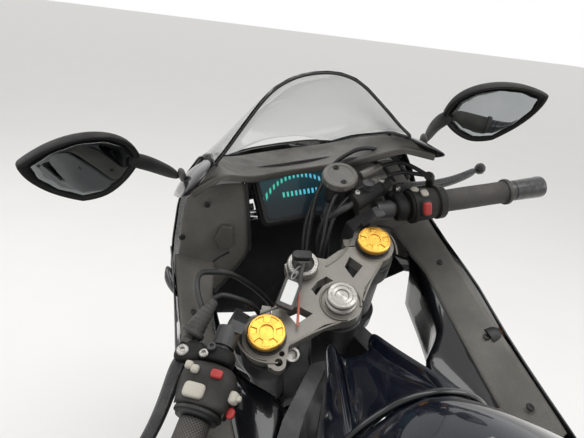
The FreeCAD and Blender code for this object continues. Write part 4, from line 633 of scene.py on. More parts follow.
SCREEN = [(1184, 133, 1054, 1152), (1212, 132.5, 1050, 1143), (1240, 134, 1046, 1132),
          (1292, 146, 1030, 1106), (1336, 136, 1017, 1081), (1380, 122, 1004, 1050), (1436, 97, 979, 1000)]
SCREEN_BOW = [(0, 1.0), (.12, .99), (.24, .955), (.38, .87), (.5, .735), (.62, .56), (.74, .38), (.88, .16),
              (1.0, 0.0)]


def screen_row(x, half, low, top, lift=8.0):
    return [(x - lift * bow, half * share, low + (top - low) * bow) for share, bow in SCREEN_BOW]


def windscreen():
    rows = both_halves([screen_row(*row) for row in SCREEN])
    sheet("windscreen_bubble", rows, "screen_smoke", stands_for=["windscreen"])
    wire("windscreen_rim", rows[0], 1.5, "seam_black")
    for side, name in SIDES:
        foot = [(x, side * (half - 1), low - 1) for x, half, low, top in SCREEN]
        wire("windscreen_foot_" + name, foot, 2.2, "seam_black")


def hood():
    """Olive shroud between the screen's foot and the dash."""
    rear = [(1176, 168, 1026), (1190, 130, 1038), (1228, 104, 1018), (1266, 80, 997), (1286, 42, 991),
            (1293, 0, 989)]
    front = [(1196, 142, 1044), (1216, 128, 1046), (1262, 130, 1034), (1334, 124, 1012), (1404, 84, 985),
             (1428, 0, 978)]
    rows = []
    for share in (0.0, 0.04, 0.3, 0.65, 1.0):
        sag = 5.0 * math.sin(math.pi * share)
        row = [between(a, b, share) for a, b in zip(rear, front)][::-1]
        rows.append([(x, y, z - sag) for x, y, z in row])
    lip = [(x + 2, y, z - 9) for x, y, z in rear][::-1]
    rows.insert(0, lip)
    sheet("dash_hood", both_halves(rows), "hood_olive", thick=2.0, hard_rows=(1,), hardness=0.5)


DASH_LOW, DASH_HIGH = Vector((1281.0, 0.0, 902.0)), Vector((1321.0, 0.0, 992.0))


def dash_frame():
    """Millimetres on the display: x across to the right, y up its face, z out to the rider."""
    up = (DASH_HIGH - DASH_LOW).normalized()
    right = Vector((0, -1, 0))
    out = right.cross(up)
    rows = [[right[i], up[i], out[i], ((DASH_LOW + DASH_HIGH) / 2)[i]] for i in range(3)]
    return bike @ Matrix(rows + [[0, 0, 0, 1]])


def rounded(half_x, half_y, radius, steps=5, taper=0.0):
    """Rounded rectangle outline; taper narrows its lower side."""
    points = []
    for cx, cy, start in ((1, 1, 0), (-1, 1, 90), (-1, -1, 180), (1, -1, 270)):
        for k in range(steps + 1):
            angle = math.radians(start + 90 * k / steps)
            x = cx * (half_x - radius) + radius * math.cos(angle)
            y = cy * (half_y - radius) + radius * math.sin(angle)
            points.append((x * (1 - taper * (half_y - y) / (2 * half_y)), y))
    return points


def display_finish():
    """Dark display with plain glowing bars, arcs and a tinted band."""
    tree, gloss = new_material("display_lit")
    for label, value in (("Roughness", 0.35), ("Specular IOR Level", 0.15), ("Coat Weight", 0.3),
                         ("Coat Roughness", 0.04), ("Emission Strength", 1.0)):
        gloss[label].default_value = value
    at = node(tree, "SeparateXYZ", [(0, own_place(tree))]).outputs
    across, up = maths(tree, "MULTIPLY", at["X"], 1000.0), maths(tree, "MULTIPLY", at["Y"], 1000.0)
    reach = maths(tree, "SQRT", maths(tree, "ADD", maths(tree, "POWER", across, 2.0),
                                      maths(tree, "POWER", maths(tree, "ADD", up, 44.0), 2.0)))
    arc = spread(tree, maths(tree, "ABSOLUTE", maths(tree, "SUBTRACT", reach, 70.0)), 1.5, 4.5, 1.0, 0.0)
    ticks = spread(tree, maths(tree, "SINE", maths(tree, "MULTIPLY", across, 0.9)), -0.2, 0.3, 0.0, 1.0)
    height = spread(tree, maths(tree, "ABSOLUTE", maths(tree, "ADD", up, 2.0)), 3.5, 4.5, 1.0, 0.0)
    width = spread(tree, maths(tree, "ABSOLUTE", across), 30.0, 31.0, 1.0, 0.0)
    bar = maths(tree, "MULTIPLY", height, width)
    glow = spread(tree, up, -30.0, 34.0, 0.04, 0.35)
    lit = maths(tree, "ADD", maths(tree, "MULTIPLY", arc, ticks), maths(tree, "MULTIPLY", bar, ticks))
    hue = mixed(tree, spread(tree, across, -40.0, 40.0, 0.0, 1.0), (.05, .55, .38), (.12, .5, .75))
    tint = mixed(tree, lit, mixed(tree, glow, (.003, .005, .008), (.02, .1, .12)), hue)
    cloud = noise(tree, own_place(tree), 30.0, 4.0)
    feed(tree, gloss["Base Color"], mixed(tree, cloud, (.004, .005, .006), (.012, .013, .015)))
    feed(tree, gloss["Emission Color"], tint)


def dash():
    display_finish()
    place = dash_frame()
    slab("dash_housing", rounded(77, 50, 12, taper=.1), -34, -4, "matte_black", "chassis", place, 3.0,
         ["dash"])
    slab("dash_bezel", rounded(71, 45, 9, taper=.1), -6, 1.2, "seam_black", "chassis", place, 1.5)
    glass = bpy.data.meshes.new("dash_glass")
    outline = rounded(64, 37, 5, taper=.12)
    glass.from_pydata([(x / 1000, y / 1000, 0) for x, y in outline], [], [tuple(range(len(outline)))])
    at = place @ Matrix.Translation((0, 0, 1.6)) @ Matrix.Scale(1000, 4)
    shown("dash_glass", glass, "display_lit", at=at)
    lamp = [(1.6, 0), (1.6, 0.6), (0.8, 1.2), (0, 1.3)]
    turned("warning_lamp_left", lamp, (-67.5, 34, 1.0), (0, 0, 1), "amber_lens", "chassis", place, 16)
    turned("warning_lamp_right", lamp, (67.5, 30, 1.0), (0, 0, 1), "button_red", "chassis", place, 16)


def ears():
    """Gloss ears beside the screen that carry the mirrors."""
    rows = [[(1164, 177, 1026), (1166, 180, 1027), (1166, 176, 1031), (1164, 173, 1031)],
            [(1180, 170, 1019), (1180, 184, 1018), (1180, 171, 1037), (1180, 146, 1044)],
            [(1198, 166, 1016), (1198, 188, 1011), (1198, 170, 1040), (1198, 131, 1052)],
            [(1240, 160, 1014), (1240, 197, 1000), (1240, 173, 1034), (1240, 131, 1047)],
            [(1290, 149, 1016), (1290, 197, 972), (1290, 176, 1010), (1290, 144, 1032)]]
    both_sides(body_of_loops, "ear", rows, "gloss_black", (0, 1, 3), ["upper_cowl"], hardness=.75)


FLANK = [(1286, ((149, 1032), (172, 1008), (192, 962), (209, 908), (220, 862), (225, 800), (227, 742))),
         (1330, ((138, 1019), (162, 998), (186, 953), (204, 900), (214, 857), (218, 790), (217, 722))),
         (1380, ((125, 1004), (149, 985), (174, 942), (195, 893), (206, 850), (209, 780), (206, 700))),
         (1430, ((103, 983), (126, 966), (152, 926), (174, 878), (186, 840), (190, 775), (187, 699))),
         (1470, ((85, 959), (105, 944), (130, 908), (150, 868), (162, 830), (166, 768), (164, 702))),
         (1510, ((64, 926), (80, 915), (100, 888), (118, 857), (130, 830), (134, 780), (132, 726))),
         (1540, ((44, 893), (55, 885), (70, 868), (84, 849), (94, 830), (97, 795), (96, 762)))]
DECK = [(1434, ((0, 988), (50, 987), (101, 982))), (1470, ((0, 968), (44, 966), (84, 959))),
        (1508, ((0, 936), (34, 933), (64, 926))), (1541, ((0, 902), (24, 899), (44, 892))),
        (1572, ((0, 852), (8, 850), (14, 846)))]


def nose():
    both_sides(sheet, "nose_flank", stations(FLANK), "gloss_black", (4,), hardness=.55)
    deck = both_halves(stations(DECK))
    sheet("nose_deck", deck, "gloss_black", hard_cols=(1, 3), hardness=.4)
    mask = [[(1541, -95, 832), (1542, -40, 838), (1544, 0, 840), (1542, 40, 838), (1541, 95, 832)],
            [(1543, -76, 858), (1552, -38, 862), (1560, 0, 864), (1552, 38, 862), (1543, 76, 858)],
            [(1541, -45, 892), (1554, -24, 890), (1566, 0, 872), (1554, 24, 890), (1541, 45, 892)]]
    sheet("nose_mask", mask, "matte_black", thick=2.0)


def nose_shade_tray():
    """Near-black tray between the flanks, behind the lamps and over the wheel: painted shade for the dark inside
    of the nose.
    """
    rows = [(1306, ((0, 716), (100, 718), (204, 742))), (1350, ((0, 726), (100, 730), (202, 748))),
            (1396, ((0, 752), (95, 756), (190, 772))), (1418, ((0, 800), (88, 804), (172, 816))),
            (1420, ((0, 846), (80, 850), (160, 858)))]
    tray = both_halves(stations(rows))
    sheet("nose_shade_tray", tray, "seam_black", thick=2.5)


def lamps():
    lens = [[(1440, 40, 764), (1440, 110, 770), (1440, 171, 777),
             (1440, 171, 814), (1440, 110, 811), (1440, 40, 805)],
            [(1492, 36, 768), (1496, 90, 778), (1486, 142, 788),
             (1486, 142, 820), (1496, 90, 820), (1492, 36, 811)],
            [(1526, 30, 776), (1532, 66, 788), (1520, 106, 798),
             (1520, 106, 824), (1532, 66, 822), (1526, 30, 814)]]
    both_sides(body_of_loops, "headlamp", lens, "lamp_clear", (0, 2, 3, 5), ["headlamps"], hard_rows=(2,))
    strip = [(1516, 34, 817), (1521, 66, 823), (1508, 104, 823), (1470, 140, 818)]
    for side, name in SIDES:
        turned("headlamp_bowl_" + name, [(17, 0), (16, 1), (11, -9), (0, -14)], (1502, side * 62, 796),
               (1, side * .15, -.02), "bright_alloy")
        wire("headlamp_strip_" + name, line_on(side, strip), 2.4, "tag_paper")


# Inner panels and side cowls

def inner_panels():
    """Grey panels round the dash and back beside the tank, with black seams."""
    front = [[(1287, 84, 980), (1285, 120, 986), (1283, 160, 984), (1284, 178, 972)],
             [(1281, 86, 940), (1280, 122, 944), (1279, 165, 942), (1281, 193, 932)],
             [(1277, 88, 905), (1276, 120, 904), (1275, 172, 900), (1277, 204, 890)],
             [(1276, 92, 868), (1274, 128, 862), (1272, 175, 858), (1272, 211, 866)],
             [(1275, 128, 834), (1270, 150, 832), (1262, 180, 830), (1256, 214, 846)],
             [(1262, 160, 812), (1254, 172, 812), (1240, 190, 822), (1230, 214, 840)]]
    wing = stations([(1276, ((152, 862), (178, 872), (212, 887))),
                     (1228, ((162, 842), (186, 853), (213, 868))),
                     (1180, ((171, 824), (191, 836), (213, 852))),
                     (1115, ((169, 800), (192, 813), (214, 827))),
                     (1050, ((166, 780), (190, 792), (214, 804))),
                     (980, ((162, 760), (187, 772), (212, 785))),
                     (910, ((158, 744), (184, 755), (210, 766)))])
    seam = [(1283, 86, 990), (1277, 88, 940), (1273, 92, 900), (1272, 96, 866), (1271, 130, 832),
            (1256, 164, 810), (1230, 176, 818)]
    liner = [[(1228, 163, 842), (1222, 166, 822), (1219, 166, 800), (1216, 160, 740)],
             [(1180, 172, 824), (1165, 164, 810), (1150, 158, 796), (1150, 152, 720)],
             [(1115, 170, 800), (1106, 160, 796), (1100, 151, 790), (1104, 146, 700)],
             [(1082, 168, 790), (1076, 150, 790), (1070, 130, 786), (1080, 138, 690)],
             [(1050, 167, 780), (1048, 128, 784), (1046, 92, 780), (1052, 120, 690)],
             [(1015, 165, 770), (1012, 135, 776), (1010, 106, 772), (1016, 124, 680)],
             [(980, 163, 760), (974, 150, 764), (968, 136, 762), (972, 136, 670)],
             [(910, 159, 744), (910, 156, 746), (910, 153, 746), (912, 150, 664)]]
    edge = [(1228, 163, 840), (1180, 172, 822), (1115, 170, 798), (1050, 167, 778), (980, 163, 758),
            (910, 159, 742)]
    tab = [(1270, 118, 918), (1270, 134, 924), (1270, 148, 902), (1270, 140, 882), (1270, 120, 886)]
    for side, name in SIDES:
        sheet("inner_panel_" + name, on_side(side, front), "inner_grey", thick=2.5, hard_cols=(1, 2),
              hardness=.3)
        sheet("inner_strip_" + name, on_side(side, wing), "inner_grey", stands_for=["inner_cowl"])
        wire("inner_seam_" + name, line_on(side, seam), 2.6, "seam_black")
        sheet("cowl_liner_" + name, on_side(side, liner), "gloss_black", thick=2.5, hard_cols=(1, 2),
              hardness=.4)
        wire("inner_edge_" + name, line_on(side, edge), 2.4, "seam_black")
        loops = [[(x + shift, side * y, z) for x, y, z in tab] for shift in (-3, 5)]
        mesh = woven("inner_tab_" + name, loops, bike, loop=True, caps=True)
        with_modifiers(shown("inner_tab_" + name, mesh, "hood_olive"), 0, 0, 1.2)


COWL_Y = [(600, 176, 196, 194, 186, 172), (800, 178, 204, 204, 196, 180), (960, 184, 218, 212, 202, 182),
          (1120, 206, 236, 226, 208, 184), (1290, 214, 226, 206, 182, 160)]
COWL_Z = (900, 760, 600, 430, 240)
COWL_TOP = [(622, 420), (632, 500), (650, 566), (690, 640), (740, 680), (800, 716), (850, 744), (900, 768),
            (960, 784), (1030, 800), (1090, 822), (1150, 846), (1200, 863), (1240, 878), (1286, 896)]
COWL_LOW = [(622, 380), (632, 330), (650, 290), (690, 242), (900, 240), (940, 262), (990, 300), (1020, 360),
            (1046, 420), (1084, 540), (1110, 580), (1150, 620), (1200, 662), (1240, 690), (1286, 742)]
COWL_X = (624, 636, 655, 690, 745, 800, 850, 900, 950, 1000, 1040, 1075, 1115, 1150, 1200, 1245, 1286)
VENT_REACH = (150, 270)         # a vent is cut between these distances from the middle
VENTS = {"upper": [(1010, 700), (1090, 690), (1050, 610), (960, 560), (930, 600)],
         "lower": [(870, 560), (930, 540), (900, 440), (810, 410), (800, 470)]}


def cowl_y(x, z):
    """Outer face of the side cowl at a place on its side view, with a pressed waist line."""
    ys = along_table(COWL_Y, x)
    table = sorted(zip(COWL_Z, ys))
    base = along_table([(height, y) for height, y in table], z)[0]
    crease = 650 + 0.22 * (x - 900)
    return base + 5.0 * math.exp(-((z - crease) / 26.0) ** 2)


def side_cowls():
    rows = []
    for x in COWL_X:
        top, low = along_table(COWL_TOP, x)[0], along_table(COWL_LOW, x)[0]
        rows.append([(x, cowl_y(x, top + (low - top) * k / 9), top + (low - top) * k / 9) for k in range(10)])
    for side, name in SIDES:
        cowl = sheet("side_cowl_" + name, on_side(side, rows), "gloss_black",
                     stands_for=["side_cowls"] if side > 0 else ())
        for vent, outline in VENTS.items():
            verts = [bike @ Vector((x, side * y, z)) for y in VENT_REACH for x, z in outline]
            faces = [(0, 1, 2, 3, 4), (9, 8, 7, 6, 5)]
            faces += [(i, i + 5, (i + 1) % 5 + 5, (i + 1) % 5) for i in range(5)]
            cutter_mesh = bpy.data.meshes.new("vent_cutter")
            cutter_mesh.from_pydata(verts, [], faces)
            faces_outward(cutter_mesh)
            cutter = bpy.data.objects.new("vent_cutter", cutter_mesh)
            bpy.context.scene.collection.objects.link(cutter)
            cut = cowl.modifiers.new("vent", "BOOLEAN")
            cut.object = cutter
            cut.solver = "EXACT"
            bpy.context.view_layer.update()
            settled(cowl)
            bpy.data.objects.remove(cutter)
            lip = [(x, side * (cowl_y(x, z) - 1), z) for x, z in outline]
            wire("vent_lip_" + vent + "_" + name, lip, 2.5, "matte_black", loop=True)


def settled(piece):
    """Gives the piece its modified mesh and drops the modifiers."""
    shape = piece.evaluated_get(bpy.context.evaluated_depsgraph_get())
    mesh = bpy.data.meshes.new_from_object(shape)
    piece.modifiers.clear()
    piece.data = mesh


# Tank

TANK = [(884, ((90, 757), (110, 782), (122, 815), (110, 846), (80, 874), (50, 906), (24, 924), (0, 930))),
        (850, ((106, 752), (134, 782), (147, 822), (134, 864), (96, 900), (58, 931), (28, 945), (0, 949))),
        (800, ((118, 749), (149, 785), (165, 830), (149, 877), (106, 912), (64, 943), (30, 955), (0, 958))),
        (750, ((115, 747), (146, 783), (160, 826), (146, 868), (104, 906), (62, 938), (30, 950), (0, 954))),
        (712, ((108, 747), (137, 780), (150, 818), (136, 857), (94, 891), (56, 922), (28, 935), (0, 940))),
        (675, ((88, 750), (112, 775), (124, 803), (112, 832), (80, 862), (48, 885), (24, 895), (0, 899))),
        (643, ((62, 753), (80, 770), (91, 790), (83, 807), (60, 828), (36, 842), (18, 848), (0, 850)))]
HORN = [(886, ((56, 882), (68, 890), (82, 872), (114, 820), (102, 771), (56, 771))),
        (925, ((47, 866), (58, 882), (71, 866), (99, 812), (88, 771), (50, 771))),
        (962, ((38, 852), (48, 872), (60, 860), (85, 807), (74, 772), (39, 772))),
        (1010, ((26, 836), (37, 858), (47, 848), (55, 815), (46, 791), (27, 791))),
        (1040, ((21, 828), (31, 851), (40, 841), (44, 820), (38, 806), (21, 806))),
        (1062, ((20, 832), (26, 846), (32, 841), (34, 829), (30, 823), (20, 823)))]
DECK_ROWS = [(886, ((0, 922), (22, 919), (44, 905), (60, 880))),
             (898, ((0, 902), (22, 899), (42, 888), (57, 874))),
             (925, ((0, 876), (20, 874), (38, 868), (50, 868))),
             (962, ((0, 852), (16, 851), (32, 850), (41, 857))),
             (1010, ((0, 832), (11, 832), (22, 834), (29, 841))),
             (1044, ((0, 821), (8, 821), (16, 824), (23, 833)))]
FILLER_AT = (752, 0, 959)


def tank():
    rows = [[(x, -y, z) for y, z in points] + [(x, y, z) for y, z in points[-2::-1]] for x, points in TANK]
    body_of_loops("tank_shell", rows, "tank_paint", hard_rows=(0, 6), hard_cols=(0, 14),
                  stands_for=["fuel_tank"])
    both_sides(body_of_loops, "tank_horn", stations(HORN), "tank_paint", (0, 1, 2, 4, 5), ["tank_cover"],
               hardness=.55, hard_rows=(0,))
    hollow = both_halves(stations(DECK_ROWS))
    sheet("tank_deck", hollow, "tank_paint")
    arch = [(900, -84, 858), (892, -72, 882), (888, -50, 908), (886, -24, 924), (885, 0, 929), (886, 24, 924),
            (888, 50, 908), (892, 72, 882), (900, 84, 858)]
    wire("tank_arch_bead", arch, 3.4, "gloss_black")
    turned("filler_boss", [(53, -44), (53, -2), (51, 0), (47.5, 0), (47, -3), (27, -3), (25, -8), (24, -40)],
           FILLER_AT, (0, 0, 1), "gloss_black", steps=64)
    bolts("tank_bolts", [((888, -88, 868), (.2, -.7, .8)), ((888, 88, 868), (.2, .7, .8))], "dark_metal",
          "chassis", bike, 6.5, 4)
    spots = [((FILLER_AT[0] + 38 * c, 38 * s, 966), (0, 0, 1)) for c, s in circle(6)]
    bolts("filler_cap_bolts", spots, "dark_metal", "filler_cap", bike, 3.5, 1.6)


# Mirrors

MIRROR_NECK = Vector((1262.0, 229.0, 1052.0))
MIRROR_U = Vector((-0.428, 0.883, 0.197)).normalized()
MIRROR_N = Vector((-0.859, -0.329, -0.393))
MIRROR_MIDDLE = (68, -14)
MIRROR_LINE = [(0, 4), (14, 26), (44, 38), (84, 36), (122, 20), (148, -2), (140, -22), (110, -50), (70, -68),
               (36, -66), (10, -36), (0, -12)]


def on_mirror(u, v, out, side):
    normal = (MIRROR_N - MIRROR_U * MIRROR_N.dot(MIRROR_U)).normalized()
    p = MIRROR_NECK + MIRROR_U * u + MIRROR_U.cross(normal) * v + normal * out
    return (p.x, side * p.y, p.z)


def mirror_loop(scale, out, side):
    mid_u, mid_v = MIRROR_MIDDLE
    return [on_mirror(mid_u + (u - mid_u) * scale, mid_v + (v - mid_v) * scale, out, side)
            for u, v in MIRROR_LINE]


def mirrors():
    shape = ((.9, -5), (.92, 0.4), (.985, 0.6), (1.01, -3), (.97, -14), (.84, -24), (.5, -32))
    stalk = [[(1216, 176, 1024), (1236, 180, 1020), (1238, 181, 1036), (1216, 177, 1041)],
             [(1238, 200, 1024), (1260, 202, 1022), (1264, 203, 1046), (1240, 202, 1050)],
             [(1258, 226, 1030), (1280, 223, 1029), (1284, 226, 1054), (1262, 230, 1058)],
             [(1257, 250, 1040), (1274, 250, 1040), (1274, 250, 1062), (1257, 250, 1064)]]
    boot = [[(1206, 168, 1026), (1236, 172, 1014), (1242, 174, 1040), (1210, 169, 1048)],
            [(1212, 180, 1022), (1240, 184, 1016), (1244, 186, 1040), (1214, 181, 1045)]]
    corners = {"hard_cols": (0, 5, 8, 11), "hardness": .55}
    for side, name in SIDES:
        shell = [mirror_loop(scale, out, side) for scale, out in shape]
        body_of_loops("mirror_housing_" + name, shell, "matte_black", hard_rows=(1, 2),
                      stands_for=["mirrors"] if side > 0 else (), **corners)
        pane = [mirror_loop(.91, -1.2, side), mirror_loop(.905, -0.8, side)]
        glass = woven("mirror_pane_" + name, pane, bike, loop=True, caps=True, **corners)
        with_modifiers(shown("mirror_pane_" + name, glass, "mirror_silver",
                             stands_for=["mirror_glass"] if side > 0 else ()))
        body_of_loops("mirror_stalk_" + name, on_side(side, stalk), "matte_black")
        body_of_loops("mirror_boot_" + name, on_side(side, boot), "boot_rubber")


# Controls on the bars

def bar_frame(side):
    """Millimetres along a bar: x ahead of it, y up, z outwards from its inner end."""
    ahead = Vector((math.cos(BAR_SWEEP), side * math.sin(BAR_SWEEP), 0))
    out = Vector((-math.sin(BAR_SWEEP), side * math.cos(BAR_SWEEP), 0))
    start = Vector((BAR_START[0], side * BAR_START[1], BAR_START[2]))
    up = Vector((0, 0, 1))
    return fork @ Matrix([[ahead[i], up[i], out[i], start[i]] for i in range(3)] + [[0, 0, 0, 1]])


def on_bar_axis(name, profile, skin, bar, steps, stands_for=()):
    turned(name, profile, (0, 0, 0), (0, 0, 1), skin, "steering", bar, steps, stands_for)


def grips():
    grip = [(13, 81), (16.2, 81.4), (16.9, 84), (17.3, 120), (17.0, 160), (17.2, 184), (18, 185.5)]
    flange = [(17, 184.6), (19.5, 185.2), (20.2, 187), (20.2, 190), (19.6, 191.8), (13, 192)]
    end = [(11, 192.4), (15.2, 192.6), (15.6, 194), (15.6, 200), (14.8, 201), (15.9, 202), (17.0, 246),
           (16.4, 250.5), (14.5, 252), (7, 252), (6.5, 249), (5, 248.6)]
    for side, name in SIDES:
        bar = bar_frame(side)
        on_bar_axis("grip_" + name, grip, "grip_rubber", bar, 56, ["grips"] if side > 0 else ())
        on_bar_axis("grip_flange_" + name, flange, "boot_rubber", bar, 48)
        on_bar_axis("bar_end_" + name, end, "bar_end_black", bar, 48, ["bar_ends"] if side > 0 else ())


def key_cap(name, s, ahead, up, length, width, tall, skin, side, tilt=0.0, taper=0.85, dome=0.0):
    """Rounded switch key; length runs along the bar and width ahead."""
    bar = bar_frame(side)
    turn = Matrix.Translation((ahead, up, s)) @ Matrix.Rotation(tilt, 4, "Z")
    loops = []
    for share, height in ((1.0, -2), (1.0, tall * .7), (taper, tall), (taper * .5, tall + dome)):
        outline = rounded(width / 2 * share, length / 2 * share, min(width, length) * .28 * share, 3)
        loops.append([tuple(turn @ Vector((x, height, z))) for x, z in outline])
    mesh = woven(name, loops, bar, loop=True, caps=True)
    return with_modifiers(shown(name, mesh, skin, "steering"), 0, 1)


SHELL_SQUARENESS = 0.75


def shell_round_bar(name, table, skin, side, steps=28, stands_for=()):
    """Housing round the bar from stations (s, radius, and the growth ahead, behind, above and below)."""
    loops = []
    for s, radius, ahead, behind, above, below in table:
        loop = []
        for k in range(steps):
            angle = math.tau * k / steps
            c, n = math.cos(angle), math.sin(angle)
            x = math.copysign(abs(c) ** SHELL_SQUARENESS, c)
            y = math.copysign(abs(n) ** SHELL_SQUARENESS, n)
            loop.append((x * (radius + (ahead if c > 0 else behind)),
                         y * (radius + (above if n > 0 else below)), s))
        loops.append(loop)
    mesh = woven(name, loops, bar_frame(side), loop=True, caps=True)
    return with_modifiers(shown(name, mesh, skin, "steering", stands_for), 0, 1)


PERCH = [(3, 14, 3, 2, 2, 2), (4, 16, 5, 4, 4, 3), (20, 16, 5, 4, 4, 3), (21, 14, 3, 2, 2, 2)]


def left_controls():
    bar = bar_frame(1)
    pod = [(24, 17, 6, 4, 2, 0), (25.5, 19, 12, 9, 5, 2), (40, 20, 13, 13, 6, 4), (46, 20, 11, 14, 2, 4),
           (60, 20, 10, 13, 1, 4), (70, 20, 8, 10, 2, 4), (72, 19, 6, 8, 1, 2)]
    shell_round_bar("switch_housing_left", pod, "control_plastic", 1, stands_for=["switch_pods"])
    flange = [(17, 71.5), (25, 72), (26.5, 73.5), (26.5, 76), (24, 77.5), (23, 80), (17, 80.4)]
    on_bar_axis("switch_flange_left", flange, "seam_black", bar, 48)
    wire("switch_seam_left", [(30, 8, 26), (32, 6, 40), (30, 6, 56), (27, 6, 71)], 0.8, "seam_black",
         "steering", bar)
    key_cap("pass_key_left", 35, 22, 24, 9, 9, 5, "button_cream", 1, dome=1.5)
    key_cap("pass_key_left_inner", 38, 14, 25.5, 9, 9, 5, "button_cream", 1, dome=1.5)
    key_cap("dip_key_left", 58, 8, 20, 17, 24, 6, "button_cream", 1, taper=.8)
    key_cap("hazard_key_left", 37, -10, 24, 10, 14, 5, "button_red", 1, taper=.8)
    key_cap("turn_key_left", 52, -30, 10, 14, 12, 8, "button_cream", 1, tilt=1.1, taper=.75, dome=1.0)
    key_cap("turn_key_rib", 52, -36, 12, 7, 5, 6, "button_cream", 1, tilt=1.1, taper=.7)
    key_cap("horn_key_left", 66, -31, 4, 12, 6, 7, "button_red", 1, tilt=1.3, taper=.7, dome=1.0)
    key_cap("horn_well_left", 66, -27, 4, 18, 12, 3, "seam_black", 1, tilt=1.3)
    shell_round_bar("lever_perch_left", PERCH, "matte_black", 1)
    bolt = [(5.2, 0), (5.2, 3.6), (4.2, 4.6), (2.6, 4.6), (2.4, 2), (0.4, 2)]
    turned("perch_bolt_left_one", bolt, (7, 20.5, 8), (0, 1, 0), "dark_metal", "steering", bar, 18)
    turned("perch_bolt_left_two", bolt, (13, 19, 17), (0, 1, 0), "bright_alloy", "steering", bar, 18)
    arm = quads([(12, -10, 12, 2, 22), (26, -11, 13, 0, 24), (44, -11, 10, 3, 27), (52, -8, 6, 8, 24)])
    body_of_loops("lever_bracket_left", arm, "matte_black", "steering", bar, 2, hard_cols=(0, 1, 2, 3),
                  hardness=.45)
    turned("lever_pivot_left", [(7, 0), (7, 2.4), (5.8, 3.4), (3, 3.4), (2.6, 1.4), (0.4, 1.4)], (40, 10, 16),
           (0, 1, 0), "bright_alloy", "steering", bar, 24)
    lever("left", 1)
    boot = [(13, 0), (14.5, 2), (14.5, 6), (11.5, 8), (11.8, 13), (10.6, 14), (11, 19), (9.9, 20), (10.3, 25),
            (9.2, 26), (9.6, 31), (8.5, 32), (8.8, 37), (7.6, 38), (7.8, 43), (6.6, 44), (6.4, 50), (4.4, 52)]
    start, stop = Vector((40, 4, -6)), Vector((28, 12, -52))
    turned("clutch_boot", [(r, h * .95) for r, h in boot], start, stop - start, "boot_rubber", "steering",
           bar, 30)
    turned("clutch_adjuster", [(8, 0), (8, 6), (6.5, 7), (6.5, 12), (8.4, 12.5), (8.4, 15), (5, 15.5)],
           (42, 3, 6), (-.1, .05, -1), "boot_rubber", "steering", bar, 24)


LEVER = ((14, 38, 8, 7), (26, 44, 9, 7), (60, 41, 7.5, 6.5), (95, 40, 7, 6), (128, 45, 6.5, 5.5),
         (152, 52, 6, 5), (172, 59, 5.5, 4.8))
LEVER_LOOP = ((-1, -1), (0, -1.1), (1, -1), (1.05, 0), (1, 1), (0, 1.1), (-1, 1), (-1.05, 0))


def lever(name, side):
    """Clutch or brake lever from (s, ahead, half width, half height) stations."""
    bar = bar_frame(side)
    rows = [[(ahead + wide * out, -6 + tall * up, s) for out, up in LEVER_LOOP]
            for s, ahead, wide, tall in LEVER]
    body_of_loops("lever_blade_" + name, rows, "bar_end_black", "steering", bar, 2,
                  stands_for=["levers"] if side > 0 else ())
    knob = [(1, -9), (5, -8.2), (8, -4.8), (9, 0), (8, 4.8), (5, 8.2), (1, 9)]
    turned("lever_knob_" + name, knob, (61, -6, 180), (0, 1, 0), "bar_end_black", "steering", bar, 28)


def right_controls():
    bar = bar_frame(-1)
    drum = [(14, 25), (21, 25.5), (24.2, 28), (24.6, 34), (24.6, 46), (24.2, 60), (23, 61), (22, 66),
            (23.4, 67), (25.6, 68.5), (25.6, 78), (24, 80), (14, 80.4)]
    on_bar_axis("switch_drum_right", drum, "control_plastic", bar, 56)
    turned("switch_collar_right", [(24.2, 27), (26.6, 27.5), (26.6, 33), (24.2, 34)], (0, 0, 0), (0, 0, 1),
           "matte_black", "steering", bar, 56, ring=True)
    key_cap("start_key_right", 34, 10, 22.5, 11, 12, 4, "button_cream", -1, tilt=-.35)
    key_cap("mode_key_right", 45, 0, 24, 11, 13, 4, "button_cream", -1)
    key_cap("kill_frame_right", 42, -19.5, 14, 17, 26, 4, "seam_black", -1, tilt=.98)
    key_cap("kill_key_right", 42, -20, 14.5, 13, 21, 8, "button_red", -1, tilt=.98, taper=.8)
    wire("throttle_elbow", [(30, -4, 74), (33, 14, 72), (28, 30, 66), (18, 42, 54)], 6.5, "control_plastic",
         "steering", bar)
    shell_round_bar("lever_perch_right", PERCH, "matte_black", -1)
    arm = quads([(12, -10, 12, 0, 22), (30, -11, 12, -2, 24), (46, -10, 8, 4, 26)])
    body_of_loops("lever_bracket_right", arm, "matte_black", "steering", bar, 2, hard_cols=(0, 1, 2, 3),
                  hardness=.45)
    lever("right", -1)
    cylinder = [(8, 0), (13, 1), (14, 4), (14, 30), (12.6, 32), (12.6, 52), (14.6, 54), (14.6, 66), (12, 72),
                (6, 76)]
    turned("master_cylinder", cylinder, (84, -112, 42), (-8, -80, 0), "matte_black", "steering", fork, 36)
    turned("master_fitting", [(8, 0), (8, 8), (6, 9), (6, 12), (9, 12.4), (9, 17), (5, 18.4), (2, 18.4)],
           (81, -140, 50), (.1, -.1, 1), "dark_metal", "steering", fork, 24)
    bolts("master_bolts", [((86, -122, 55), (0, 0, 1)), ((78, -168, 55), (.1, 0, 1)),
                           ((66, -176, 42), (-1, 0, .4)), ((58, -186, 40), (-1, 0, .6))], "bright_alloy",
          "steering", fork, 4.6, 3.6)


RESERVOIR_AT = (121, -122, 0)


